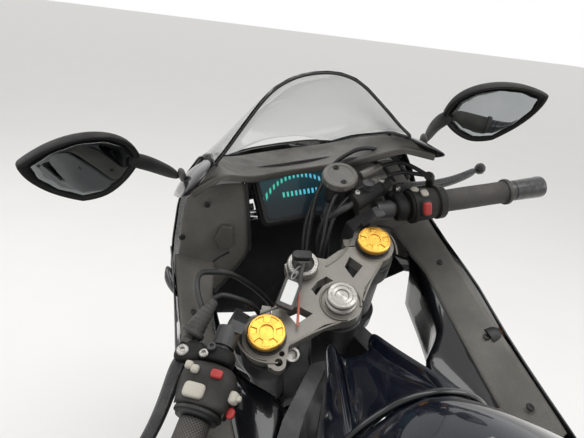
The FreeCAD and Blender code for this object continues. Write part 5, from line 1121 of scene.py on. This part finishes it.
def reservoir():
    cup = [(12, 20), (19, 20.5), (21, 23), (22.2, 50), (23.2, 57.8)]
    turned("reservoir_cup", cup, RESERVOIR_AT, (0, 0, 1), "seam_black", "steering", fork, 48,
           ["brake_reservoir"])
    lid = [(23.5, 56.5), (25.6, 57.4), (26, 59), (26, 65.2), (25.2, 67.4), (23.6, 68.2), (19, 68.2),
           (18.4, 67.2), (4, 67.2)]
    turned("reservoir_lid", lid, RESERVOIR_AT, (0, 0, 1), "reservoir_plastic", "steering", fork, 64)
    ribs = [((RESERVOIR_AT[0] + 26 * c, RESERVOIR_AT[1] + 26 * s, 61), (c, s, 0)) for c, s in circle(12)]
    bolts("reservoir_ribs", ribs, "reservoir_plastic", "steering", fork, 2.6, 1.2)
    bolts("reservoir_screws", [((135, -128, 67.4), (0, 0, 1)), ((107, -114, 67.4), (0, 0, 1))], "seam_black",
          "steering", fork, 4.6, 2.2)
    lug = stations([(92, ((-132, 30), (-114, 30), (-114, 46), (-132, 46))),
                    (104, ((-130, 32), (-116, 32), (-116, 46), (-130, 46)))])
    body_of_loops("reservoir_lug", lug, "matte_black", "steering", fork, 1, hard_cols=(0, 1, 2, 3))
    for tag, dx in (("one", 0), ("two", 9)):
        line = [(113 + dx * .5, -110 + dx, 24), (108 + dx * .5, -98 + dx, 4), (104 + dx, -90 + dx * .6, -24),
                (98 + dx, -84 + dx * .5, -58), (88 + dx, -72 + dx * .4, -92), (76 + dx, -60, -112)]
        wire("brake_hose_" + tag, line, 5.2, "hose_rubber", "steering", fork)
        for k, (x, y, z) in enumerate(line[1:3]):
            turned("hose_clip_" + tag + "_" + str(k), [(5, 0), (6.6, .3), (6.6, 4.2), (5, 4.5)], (x, y, z),
                   Vector(line[k + 2]) - Vector(line[k + 1]), "dark_metal", "steering", fork, 20)
    sleeve = [(3, 0), (6.2, .8), (6.8, 3), (6.8, 26), (6, 28), (5.4, 36), (3.2, 37)]
    way = Vector((-.25, -.94, .1))
    for tag, base, out in (("upper", Vector((104, -150, 58)), 8), ("lower", Vector((90, -146, 50)), 0)):
        turned("cable_sleeve_" + tag, sleeve, base, way, "reservoir_plastic", "steering", fork, 24)
        stop = base + way.normalized() * 36
        run = [stop, stop + Vector((-10, -22, 4)), stop + Vector((-26, -36, 2)), on_bar(-1, 58, 24, 36)]
        wire("throttle_cable_" + tag, run, 3.1, "seam_black", "steering", fork)
        back = [base + Vector((2, 4, 0)), base + Vector((6, 26, -2)), base + Vector((4, 60, -18)),
                (84, out - 60, -20), (76, -40, -50)]
        wire("throttle_cable_back_" + tag, back, 2.6, "dark_metal", "steering", fork)


# Upper yoke, caps and key

LEG_X, LEG_Y = 31, 105      # a fork leg's middle, ahead of the steering axis and out from it


def yoke_trim():
    """Raised rims and webs of the upper yoke, and the rings of the stem nut."""
    crescent = []
    for k in range(25):
        angle = math.radians(-150 + 300 * k / 24)
        crescent.append((27 * math.cos(angle), 27 * math.sin(angle), 1.0))
    wire("yoke_boss_rim", crescent, 1.6, "yoke_cast", "steering", fork)
    beads = (("yoke_edge_", 1.4, 0.5, ((62, 98), (66, 118), (56, 134), (34, 140), (10, 134), (-4, 118))),
             ("yoke_web_", 1.5, 0.4, ((-20, 22), (-10, 46), (-2, 72), (2, 90))),
             ("yoke_front_web_", 1.5, 0.4, ((52, 26), (48, 48), (52, 72), (60, 90))))
    for side, name in SIDES:
        for label, radius, up, line in beads:
            wire(label + name, [(x, side * y, up) for x, y in line], radius, "yoke_cast", "steering", fork)
    nut = [(19.5, -1), (20.2, 0.4), (20.2, 4.8), (18.6, 6.4), (14.5, 6.4), (13.4, 5.2), (9.2, 5.2),
           (8.2, 3.2), (6.2, 3.2)]
    turned("stem_nut_rings", nut, (0, 0, 12), (0, 0, 1), "bright_alloy", "steering", fork, 64)


def cap_tops():
    """Gold caps with their raised six-lobed drive and ring."""
    for side, name in SIDES:
        base = [(18, 6), (23.4, 6.4), (24, 7.4), (24, 13.2), (22.6, 14.6), (20.6, 14.8), (20.0, 13.4),
                (12.4, 13.4), (11.8, 14.8), (9.2, 14.8), (8.6, 12.6), (1, 12.6)]
        turned("fork_cap_" + name, base, (LEG_X, side * LEG_Y, 0), (0, 0, 1), "gold_alloy", "steering", fork,
               72, ["fork_caps"] if side > 0 else ())
        for k, (c, n) in enumerate(circle(6, .25)):
            tooth = [(r * c - w * n + LEG_X, r * n + w * c + side * LEG_Y)
                     for r, w in ((11, -3.6), (20.6, -5.2), (20.6, 5.2), (11, 3.6))]
            slab("fork_cap_tooth_" + name + str(k), tooth, 12.6, 15.0, "gold_alloy", "steering", fork, .7)


LOCK_AT = (72, 0, 0)


def ignition():
    ring = [(14.6, 2), (21.4, 2.6), (21.8, 5), (21.8, 13), (20.6, 14.6), (15.6, 14.6), (14.6, 12)]
    turned("ignition_ring", ring, LOCK_AT, (0, 0, 1), "bright_alloy", "steering", fork, 56,
           ["ignition_switch"], ring=True)
    face = [(14.5, 3), (14.4, 11), (9.4, 12.2), (8.8, 14), (3.4, 14), (3, 10)]
    turned("ignition_face", face, LOCK_AT, (0, 0, 1), "boot_rubber", "steering", fork, 48)
    shape = ((-14, -4), (-11, -7), (8, -7), (13, -4), (13, 4), (8, 7), (-11, 7), (-14, 4))
    head = [(74 + .7 * (a - b), 2 + .7 * (a + b)) for a, b in shape]
    slab("key_head", head, 26, 35, "seam_black", "steering", fork, 2.0, ["ignition_key"])
    slab("key_blade", [(67, -4), (77, -4), (77, 4), (67, 4)], 14, 27, "key_steel", "steering", fork, .6)
    spin, lean = Matrix.Rotation(math.radians(-62), 4, "Z"), Matrix.Rotation(math.radians(12), 4, "X")
    tag_place = fork @ Matrix.Translation((48, 50, 20)) @ spin @ lean
    slab("key_tag_holder", rounded(23, 12, 4), -3, 3, "tag_leather", "steering", tag_place, 1.2)
    slab("key_tag_label", rounded(17, 8, 1.5), 2.6, 3.5, "tag_paper", "steering", tag_place, .3)
    ring_line = [(66, 12, 28), (62, 34, 29), (57, 36, 23), (62, 14, 22)]
    wire("key_ring", ring_line, .9, "key_steel", "steering", fork, loop=True)
    strap = [(64, 8, 26), (58, 20, 27), (44, 36, 17), (26, 54, 10), (12, 70, 7)]
    wire("key_strap", strap, 1.7, "strap_coral", "steering", fork)
    wire("key_strap_sleeve", strap[:3], 3.0, "tag_leather", "steering", fork)
    # Near-black plug in the stem nut's bore: painted shade for the depth of the hole.
    turned("stem_shadow", [(5.8, 0), (5.8, 1), (0, 1.2)], (0, 0, -1), (0, 0, 1), "seam_black", "steering",
           fork, 24)
    turned("bracket_ring", [(5, 0), (9.4, .4), (9.8, 2), (9.8, 6), (9, 7.2), (6, 7.2), (5.4, 5), (5, 1)],
           (-2, 92, -22), (-.3, .1, 1), "bright_alloy", "steering", fork, 36)


# Cushions

SEAT_CELL, SEAT_CELL_QUICK = 0.006, 0.009       # metres between the points of a cover
SEAT_FOOT = 7.0         # height of the held edge, in millimetres
SEAT_FRAMES = 20
SEAT_REACH = 0.007      # the most a cover moves from its foam, in metres


def cloth_seat(name, base_rows, pressure=4.0):
    """Soft cover over foam: remeshed, inflated with its foot pinned, then smoothed."""
    mesh = woven(name, base_rows, bike, loop=True, caps=True)
    seat = shown(name, mesh, "seat_vinyl")
    even = seat.modifiers.new("even", "REMESH")
    even.mode = "VOXEL"
    even.voxel_size = SEAT_CELL
    settled(seat)
    seat.data.materials.clear()
    seat.data.materials.append(finishes["seat_vinyl"])
    heights = [(bike.inverted() @ vert.co).z for vert in seat.data.vertices]
    low = min(heights)
    foot = seat.vertex_groups.new(name="foot")
    foot.add([i for i, z in enumerate(heights) if z < low + SEAT_FOOT], 1.0, "REPLACE")
    before = [vert.co.copy() for vert in seat.data.vertices]
    cloth = seat.modifiers.new("cover", "CLOTH")
    cloth.settings.vertex_group_mass = "foot"
    cloth.settings.use_pressure = True
    for key, value in (("uniform_pressure_force", pressure), ("tension_stiffness", 40),
                       ("compression_stiffness", 40), ("shear_stiffness", 20), ("bending_stiffness", 6)):
        setattr(cloth.settings, key, value)
    cloth.settings.effector_weights.gravity = 0
    cloth.point_cache.frame_start = 1
    cloth.point_cache.frame_end = SEAT_FRAMES
    scene = bpy.context.scene
    for step in range(1, SEAT_FRAMES + 1):
        scene.frame_set(step)
    settled(seat)
    scene.frame_set(1)
    for vert, old in zip(seat.data.vertices, before):
        moved = vert.co - old
        if moved.length > SEAT_REACH:
            vert.co = old + moved.normalized() * SEAT_REACH
    seat.data.shade_smooth()
    fine = seat.modifiers.new("fine", "SUBSURF")
    fine.levels = fine.render_levels = 1
    return seat


RIDER = [(636, 56, 803, 8), (612, 68, 801, 8), (560, 84, 797, 8), (490, 104, 794, 8), (430, 118, 793, 8),
         (370, 124, 798, 8), (330, 123, 806, 8), (290, 114, 822, 8), (262, 104, 835, 8)]
PILLION = [(246, 72, 859, 23), (200, 78, 868, 24), (150, 79, 877, 25), (100, 77, 885, 26), (60, 72, 892, 26),
           (10, 64, 900, 20), (-32, 56, 907, 14)]


def seat_loop(x, half, low, top, crown):
    points = [(-half * .9, low), (0, low), (half * .9, low), (half, low + (top - low) * .45),
              (half * .93, top - 8), (half * .72, top + 1), (half * .36, top + crown * .85), (0, top + crown)]
    return [(x, y, z) for y, z in points] + [(x, -y, z) for y, z in points[-2:2:-1]]


def seats():
    rows = [seat_loop(x, half, 753, top, crown) for x, half, top, crown in RIDER]
    seat = cloth_seat("rider_cushion", rows)
    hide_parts("rider_seat")
    rows = [seat_loop(x, half, low, low + tall, 4) for x, half, low, tall in PILLION]
    back = cloth_seat("pillion_cushion", rows, 3.0)
    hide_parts("pillion_seat")
    for side, name in SIDES:
        line = [(x, side * half * .86, top - 1.0) for x, half, top, crown in RIDER]
        wire("rider_seam_" + name, line, 1.5, "seam_black")
        line = [(x, side * half * .84, low + tall + .5) for x, half, low, tall in PILLION]
        wire("pillion_seam_" + name, line, 1.4, "seam_black")
    half = ((84, 886), (82, 906), (60, 917), (30, 922), (0, 923))
    strap = half + tuple((-y, z) for y, z in half[-2::-1])
    band = [[(84 + d, y, z + h) for d, h in ((-13, 0), (13, 0), (13, 3), (-13, 3))] for y, z in strap]
    body_of_loops("pillion_strap", band, "tag_leather", levels=1, hard_cols=(0, 1, 2, 3))


# Wheels and tyres

def tread():
    """Slanted water grooves round an axle, given by its place and turn."""
    none = (0.0, 0.0, 0.0)
    inputs = [("Place", "Vector", none), ("Turn", "Vector", none), ("Around", "Float", 22.0),
              ("Slant", "Float", 30.0), ("Reach", "Float", 0.05), ("Rubber", "Color", (.02, .02, .02)),
              ("Groove", "Color", (.004, .004, .004))]
    tree, given, put = effect("Tread grooves", inputs, SKIN_OUT[:2])
    local = node(tree, "Mapping", [("Vector", own_place(tree)), ("Location", given["Place"]),
                                   ("Rotation", given["Turn"])], vector_type="TEXTURE")
    at = node(tree, "SeparateXYZ", [(0, local.outputs[0])]).outputs
    turn = maths(tree, "MULTIPLY", maths(tree, "DIVIDE", maths(tree, "ARCTAN2", at["Y"], at["X"]), math.tau),
                 given["Around"])
    across = maths(tree, "ABSOLUTE", at["Z"])
    swept = maths(tree, "MULTIPLY", maths(tree, "POWER", across, 0.8), given["Slant"])
    half = maths(tree, "MULTIPLY", maths(tree, "SIGN", at["Z"]), 0.25)
    phase = maths(tree, "FRACT", maths(tree, "ADD", maths(tree, "ADD", turn, swept), half))
    line = spread(tree, maths(tree, "ABSOLUTE", maths(tree, "SUBTRACT", phase, 0.5)), 0.045, 0.075, 1.0, 0.0)
    inside = maths(tree, "MULTIPLY", spread(tree, across, 0.007, 0.009, 0.0, 1.0),
                   spread(tree, maths(tree, "SUBTRACT", across, given["Reach"]), -0.003, 0.0, 1.0, 0.0))
    groove = maths(tree, "MULTIPLY", line, inside)
    wear = noise(tree, own_place(tree), 50.0, 5.0)
    rubber = mixed(tree, spread(tree, wear, .3, .8, 0.0, .35), given["Rubber"], (.06, .057, .053))
    feed(tree, put["Color"], mixed(tree, groove, rubber, given["Groove"]))
    feed(tree, put["Height"], maths(tree, "SUBTRACT", 1.0, groove))
    return tree


TREAD = tread()


def tread_finish(name, wheel, around, slant, reach):
    axle = axis_frame(wheel, (0, 0, 0), (0, 1, 0))
    values = {"Place": tuple(axle.translation), "Turn": tuple(axle.to_euler()), "Around": around,
              "Slant": slant, "Reach": reach}
    finish(name, TREAD, values, dust=.2, bump=.004, rounding=.0003, roughness=.62)


tread_finish("front_tread", front_wheel, 26.0, 24.0, 0.052)
tread_finish("rear_tread", rear_wheel, 24.0, 20.0, 0.068)


def tyre(name, node_name, radius, crown, bead, skin, place, body):
    profile = [(223, -bead + 1), (227, -bead - 3), (236, -crown * .93)]
    for k in range(17):
        angle = math.radians(-84 + 168 * k / 16)
        profile.append((radius - crown + crown * math.cos(angle), crown * math.sin(angle)))
    profile += [(236, crown * .93), (227, bead + 3), (223, bead - 1)]
    turned(name, profile, (0, 0, 0), (0, 1, 0), skin, body, place, 128, [node_name], ring=True)
    for side in (1, -1):
        for k, r in enumerate((231, 240)):
            ring = [(r, 0), (r + .6, .8), (r + 1.4, 0)]
            edge = side * (crown * (.93 + .045 * k))
            turned(name + "_rib" + str(k) + ("l" if side > 0 else "r"), ring, (0, edge - side * .5, 0),
                   (0, side, 0), "tyre_rubber", body, place, 96, ring=True)


def wheels():
    tyre("tyre_front_round", "front_tyre", 300, 60, 46, "front_tread", front_wheel, "front_wheel")
    tyre("tyre_rear_round", "rear_tyre", 312, 80, 62, "rear_tread", rear_wheel, "rear_wheel")
    for name, place, half in (("front", front_wheel, 49), ("rear", rear_wheel, 65)):
        body = name + "_wheel"
        stripe = [(221.5, 0), (222.2, .5), (223.6, .5), (224.2, 0)]
        for side in (1, -1):
            turned(name + "_rim_line" + ("l" if side > 0 else "r"), stripe, (0, side * (half + 1.6), 0),
                   (0, side, 0), "rest_alloy", body, place, 96, ring=True)
        turned(name + "_valve", [(4, 0), (4, 10), (2.6, 12), (2.6, 26), (3.6, 26.5), (3.6, 33), (1, 34)],
               (0, 12, -206), (0, .25, 1), "seam_black", body, place, 14)
        turned(name + "_axle_nut", [(16, 0), (16, 3), (12, 4), (12, 11), (9, 12), (5, 12), (5, 8), (.5, 8)],
               (0, 60 if name == "front" else 132, 0), (0, 1, 0), "bright_alloy",
               "steering" if name == "front" else "chassis", place, 6)


# Fender, belly and tail

def upright(place):
    """Same millimetres, with y up and z to the right, for side-view outlines."""
    return place @ Matrix([[1, 0, 0, 0], [0, 0, -1, 0], [0, 1, 0, 0], [0, 0, 0, 1]])


GUARD_AT = (30.7, -634.9)       # the wheel's middle in the fork's millimetres
GUARD_EDGE, GUARD_CROWN, GUARD_HALF = 250, 69, 71.5
GUARD_FACE = 68.6


def front_guard():
    rows = []
    for k in range(13):
        share = k / 12
        t = math.radians(166 - 114 * share)
        grow = 1.0 - .5 * max(0.0, (share - .82) / .18) ** 2 - .22 * max(0.0, (.1 - share) / .1) ** 2
        row = []
        for j in range(9):
            a = math.radians(-74 + 148 * j / 8) * grow
            r = GUARD_EDGE + GUARD_CROWN * math.cos(a)
            row.append((GUARD_AT[0] + r * math.cos(t), GUARD_HALF * math.sin(a),
                        GUARD_AT[1] + r * math.sin(t)))
        rows.append(row)
    sheet("front_guard_shell", rows, "gloss_black", "steering", fork, stands_for=["front_fender"])
    leg = [(-12, -356), (2, -420), (12, -482), (50, -482), (60, -430), (68, -368), (40, -352), (10, -350)]
    for side, name in SIDES:
        low, high = (-GUARD_FACE, -65.4) if side > 0 else (65.4, GUARD_FACE)
        slab("front_guard_leg_" + name, leg, low, high, "matte_black", "steering", upright(fork), 1.2)
        spots = [((x, side * GUARD_FACE, z), (0, side, 0)) for x, z in ((22, -466), (42, -466), (30, -380))]
        bolts("front_guard_bolts_" + name, spots, "bright_alloy", "steering", fork, 5, 3)


BELLY = [(990, 189, 299, 92, 262, 252), (965, 187, 276, 101, 214, 200), (930, 184, 252, 108, 172, 155),
         (890, 181, 240, 112, 148, 130), (830, 179, 239, 113, 138, 122), (760, 178, 239, 113, 133, 117),
         (680, 175, 239, 111, 130, 117), (604, 172, 240, 107, 130, 118)]


def belly():
    rows = [[(x, 0, keel), (x, w1 * .5, keel + (z1 - keel) * .3), (x, w1 * .93, z1 - 1),
             (x, w1 + (w0 - w1) * .5, z1 + (z0 - z1) * .42), (x, w0, z0)]
            for x, w0, z0, w1, z1, keel in BELLY]
    sheet("belly_shell", both_halves(rows), "gloss_black", hard_cols=(2, 6), hardness=.35,
          stands_for=["belly_pan"])
    lip = [(989, y, 262 - 10 * (1 - (y / 92) ** 2)) for y in (-92, -60, -30, 0, 30, 60, 92)]
    wire("belly_lip", lip, 3, "matte_black")


TAIL = [(246, 117, 743, 97, 828, 80, 857), (200, 115, 752, 98, 836, 83, 866),
        (150, 112, 763, 98, 845, 86, 875), (105, 107, 776, 95, 853, 84, 884),
        (60, 100, 790, 90, 860, 80, 891), (10, 92, 808, 83, 870, 73, 900), (-36, 84, 826, 76, 879, 66, 907),
        (-95, 73, 845, 68, 888, 58, 913), (-150, 62, 862, 58, 896, 48, 916),
        (-195, 50, 876, 47, 899, 38, 916), (-224, 41, 884, 38, 900, 31, 914)]


TAIL_BOLTS = ((300, 128, 716), (410, 137, 706), (570, 156, 686))
INDICATOR = [(76, ((-234, 720), (-234, 738), (-248, 741), (-270, 736), (-270, 722), (-248, 717))),
             (92, ((-231, 717), (-231, 741), (-248, 743), (-275, 738), (-275, 720), (-248, 715))),
             (120, ((-234, 720), (-234, 738), (-248, 740), (-268, 736), (-268, 722), (-248, 718)))]


def tail():
    rows = [[(x, 0, z2 + (3 if x < -40 else 0)), (x, w2 * .62, z2 + (2 if x < -40 else 0)), (x, w2, z2),
             (x, w1 + 2, z1 + (z2 - z1) * .3), (x, (w0 + w1) / 2 + 3, (z0 + z1) / 2 + 6), (x, w0, z0)]
            for x, w0, z0, w1, z1, w2, z2 in TAIL]
    sheet("tail_shell", both_halves(rows), "gloss_black", hard_cols=(2, 8), hardness=.45,
          stands_for=["tail_cowl"])
    panel = stations([(242, ((118, 742), (121, 720), (122, 701))),
                      (330, ((123, 742), (128, 712), (130, 687))),
                      (420, ((129, 742), (134, 706), (136, 673))),
                      (510, ((141, 722), (147, 688), (148, 657))),
                      (600, ((153, 700), (158, 670), (160, 641)))])
    both_sides(sheet, "tail_side", panel, "matte_black")
    wall = stations([(244, ((-90, 753), (0, 753), (90, 753))), (244, ((-78, 853), (0, 853), (78, 853)))])
    sheet("tail_wall", wall, "matte_black", thick=2.0, hard_cols=(0, 2), hard_rows=(0, 1))
    lens = quads([(-225, -36, 36, 886, 909), (-236, -31, 31, 887, 907), (-243, -23, 23, 889, 902)])
    body_of_loops("tail_lens", lens, "lamp_red", hard_rows=(0,), hard_cols=(0, 1, 2, 3), hardness=.5,
                  stands_for=["rear_lamps"])
    for side, name in SIDES:
        turned("rear_stalk_" + name, [(7.5, 0), (7.5, 6), (6, 8), (6, 50), (8, 53)], (-250, side * 27, 728),
               (0, side, 0), "seam_black", steps=24)
        lamp = [[(x, side * y, z) for x, z in loop] for y, loop in INDICATOR]
        body_of_loops("rear_indicator_" + name, lamp, "amber_lens", hardness=.4, hard_rows=(0,))
        line = [(x, side * (w2 - 1), z2 + 1.2) for x, _, _, _, _, w2, z2 in TAIL]
        wire("grab_line_" + name, line, 1.4, "seam_black")
        spots = [((x, side * y, z), (0, side, .1)) for x, y, z in TAIL_BOLTS]
        bolts("tail_bolts_" + name, spots, "dark_metal", "chassis", bike, 5, 3)


COWL_BOLTS = ((1240, 850), (1130, 812), (1000, 760), (850, 712), (700, 600), (660, 400), (720, 262),
              (900, 262), (1010, 420), (1110, 640), (1230, 720))
FACING, RISING, SLOPING = (-1, 0, 0), (-.4, 0, 1), (-1, 0, .2)
INNER_SCREWS = ((1277, 196, 912, FACING), (1276, 150, 960, FACING), (1268, 186, 846, SLOPING),
                (1180, 196, 840, RISING), (1050, 196, 796, RISING), (950, 190, 772, RISING))


def cowl_details():
    """Fasteners, pods and small fins on the outside."""
    for side, name in SIDES:
        spots = [((x, side * (cowl_y(x, z) + .6), z), (0, side, .05)) for x, z in COWL_BOLTS]
        bolts("cowl_bolts_" + name, spots, "dark_metal", "chassis", bike, 5.5, 2.6)
        place = (1052, side * 209, 790)
        pod = [(15, -8), (15.5, 0), (15, 5), (12, 10), (6, 13), (1, 13.6)]
        turned("indicator_pod_" + name, pod, place, (0, side, .25), "seam_black", steps=36)
        turned("indicator_lens_" + name, [(12.6, 8.6), (10, 11.6), (5.4, 14), (1, 14.6)], place,
               (0, side, .25), "amber_lens", steps=32)
        fin = stations([(1214, ((205, 842), (212, 836), (213, 842))),
                        (1244, ((216, 856), (232, 846), (226, 858))),
                        (1278, ((214, 868), (240, 862), (228, 874)))])
        body_of_loops("cowl_fin_" + name, on_side(side, fin), "gloss_black", hard_cols=(0, 1, 2), hardness=.5)
        panel_spots = [((x, side * y, z), way) for x, y, z, way in INNER_SCREWS]
        bolts("inner_screws_" + name, panel_spots, "seam_black", "chassis", bike, 5, 2)
        fold = line_on(side, [(1274, 128, 872), (1273, 160, 866), (1271, 176, 840)])
        wire("inner_fold_" + name, fold, 1.8, "seam_black")


ENGINE_COVER = (700, 158, 360)


def running_gear():
    """Bolts of the engine covers, brake lines, fork seals and the clutch cable."""
    x, y, z = ENGINE_COVER
    spots = [((x + 74 * c, side * y, z + 74 * s), (0, side, 0)) for side in (1, -1) for c, s in circle(8)]
    bolts("engine_cover_bolts", spots, "bright_alloy", "chassis", bike, 5, 4)
    for side, name in SIDES:
        line = line_on(side, [(60, 84, -470), (78, 96, -380), (84, 98, -260), (80, 90, -150), (70, 60, -120)])
        wire("front_brake_line_" + name, line, 3.2, "hose_rubber", "steering", fork)
        ring = [(26.4, 0), (30.5, .6), (31.2, 2), (31.2, 6), (30, 7.4), (26.4, 8)]
        turned("fork_seal_" + name, ring, (LEG_X, side * LEG_Y, -330), (0, 0, 1), "seam_black", "steering",
               fork, 48, ring=True)
    line = [(97, 131, 38), (96, 124, 42), (89, 116, 40), (79, 107, 34), (73, 98, 22), (70, 90, 4),
            (66, 82, -30), (58, 66, -90)]
    wire("clutch_cable", line, 3.4, "seam_black", "steering", fork)


# Camera, floor and light

PHOTO_EYE, PHOTO_TARGET = Vector((641.4, 156.0, 1245.5)), Vector((1100.0, 57.9, 1004.1))
PHOTO_ROLL = math.radians(-4.059)
PHOTO_WIDTH, PHOTO_FOCUS = 584, 450.0       # pixels
SENSOR = 36.0                               # millimetres


def at_photo():
    """Camera where the photograph was taken, over the rider's seat."""
    look = (PHOTO_TARGET - PHOTO_EYE).normalized()
    right = look.cross(Vector((0, 0, 1))).normalized()
    up = right.cross(look)
    c, s = math.cos(PHOTO_ROLL), math.sin(PHOTO_ROLL)
    right, up = c * right + s * up, c * up - s * right
    turn = bike.to_3x3() * 1000
    data = bpy.data.cameras.new("photo_camera")
    data.sensor_width = SENSOR
    data.lens = PHOTO_FOCUS * SENSOR / PHOTO_WIDTH
    data.clip_start = 0.02
    camera = bpy.data.objects.new("photo_camera", data)
    bpy.context.scene.collection.objects.link(camera)
    axes = [turn @ right, turn @ up, -(turn @ look), bike @ PHOTO_EYE]
    camera.matrix_world = Matrix([[axis[i] for axis in axes] for i in range(3)] + [[0, 0, 0, 1]])
    bpy.context.scene.camera = camera


FLOOR_HALF = 30.0


def studio():
    """Pale floor, white surroundings and three soft lamps."""
    mesh = bpy.data.meshes.new("floor")
    mesh.from_pydata([(x * FLOOR_HALF, y * FLOOR_HALF, 0) for x, y in ((-1, -1), (1, -1), (1, 1), (-1, 1))],
                     [], [(0, 1, 2, 3)])
    floor = bpy.data.objects.new("floor", mesh)
    bpy.context.scene.collection.objects.link(floor)
    tree, gloss = new_material("floor_pale")
    cloud = noise(tree, own_place(tree), 3.0, 5.0)
    feed(tree, gloss["Base Color"], mixed(tree, cloud, (.86, .85, .83), (.9, .89, .87)))
    gloss["Roughness"].default_value = 0.6
    mesh.materials.append(finishes["floor_pale"])
    world = bpy.data.worlds.new("studio")
    bpy.context.scene.world = world
    world.use_nodes = True
    tree = world.node_tree
    sky = tree.nodes["Background"]
    feed(tree, sky.inputs["Color"], (1, 1, 1))
    path = node(tree, "LightPath").outputs
    through = maths(tree, "MAXIMUM", path["Is Glossy Ray"], path["Is Transmission Ray"])
    seen = maths(tree, "MAXIMUM", path["Is Camera Ray"], through)
    lit = maths(tree, "MULTIPLY_ADD", seen, 0.3, 0.7)
    feed(tree, sky.inputs["Strength"], lit)
    for name, place, target, size, power in (("over", (.4, -.3, 3.2), (.1, 0, .8), (3.2, .9), 34),
                                             ("left", (1.6, 2.6, 2.2), (.2, 0, .7), (1.8, 1.8), 22),
                                             ("right", (-.6, -2.8, 2.0), (.2, 0, .6), (2.2, 1.2), 18)):
        data = bpy.data.lights.new(name, "AREA")
        data.shape = "RECTANGLE"
        data.size, data.size_y = size
        data.energy = power
        lamp = bpy.data.objects.new(name, data)
        bpy.context.scene.collection.objects.link(lamp)
        lamp.location = place
        lamp.rotation_euler = (Vector(target) - Vector(place)).to_track_quat("-Z", "Y").to_euler()


for build in (windscreen, hood, dash, ears, nose, nose_shade_tray, lamps, inner_panels, side_cowls, tank, mirrors,
              grips, left_controls, right_controls, reservoir, yoke_trim, cap_tops, ignition, seats, wheels,
              front_guard, belly, tail, cowl_details, running_gear, at_photo, studio):
    build()
bpy.context.scene.view_settings.view_transform = "Standard"
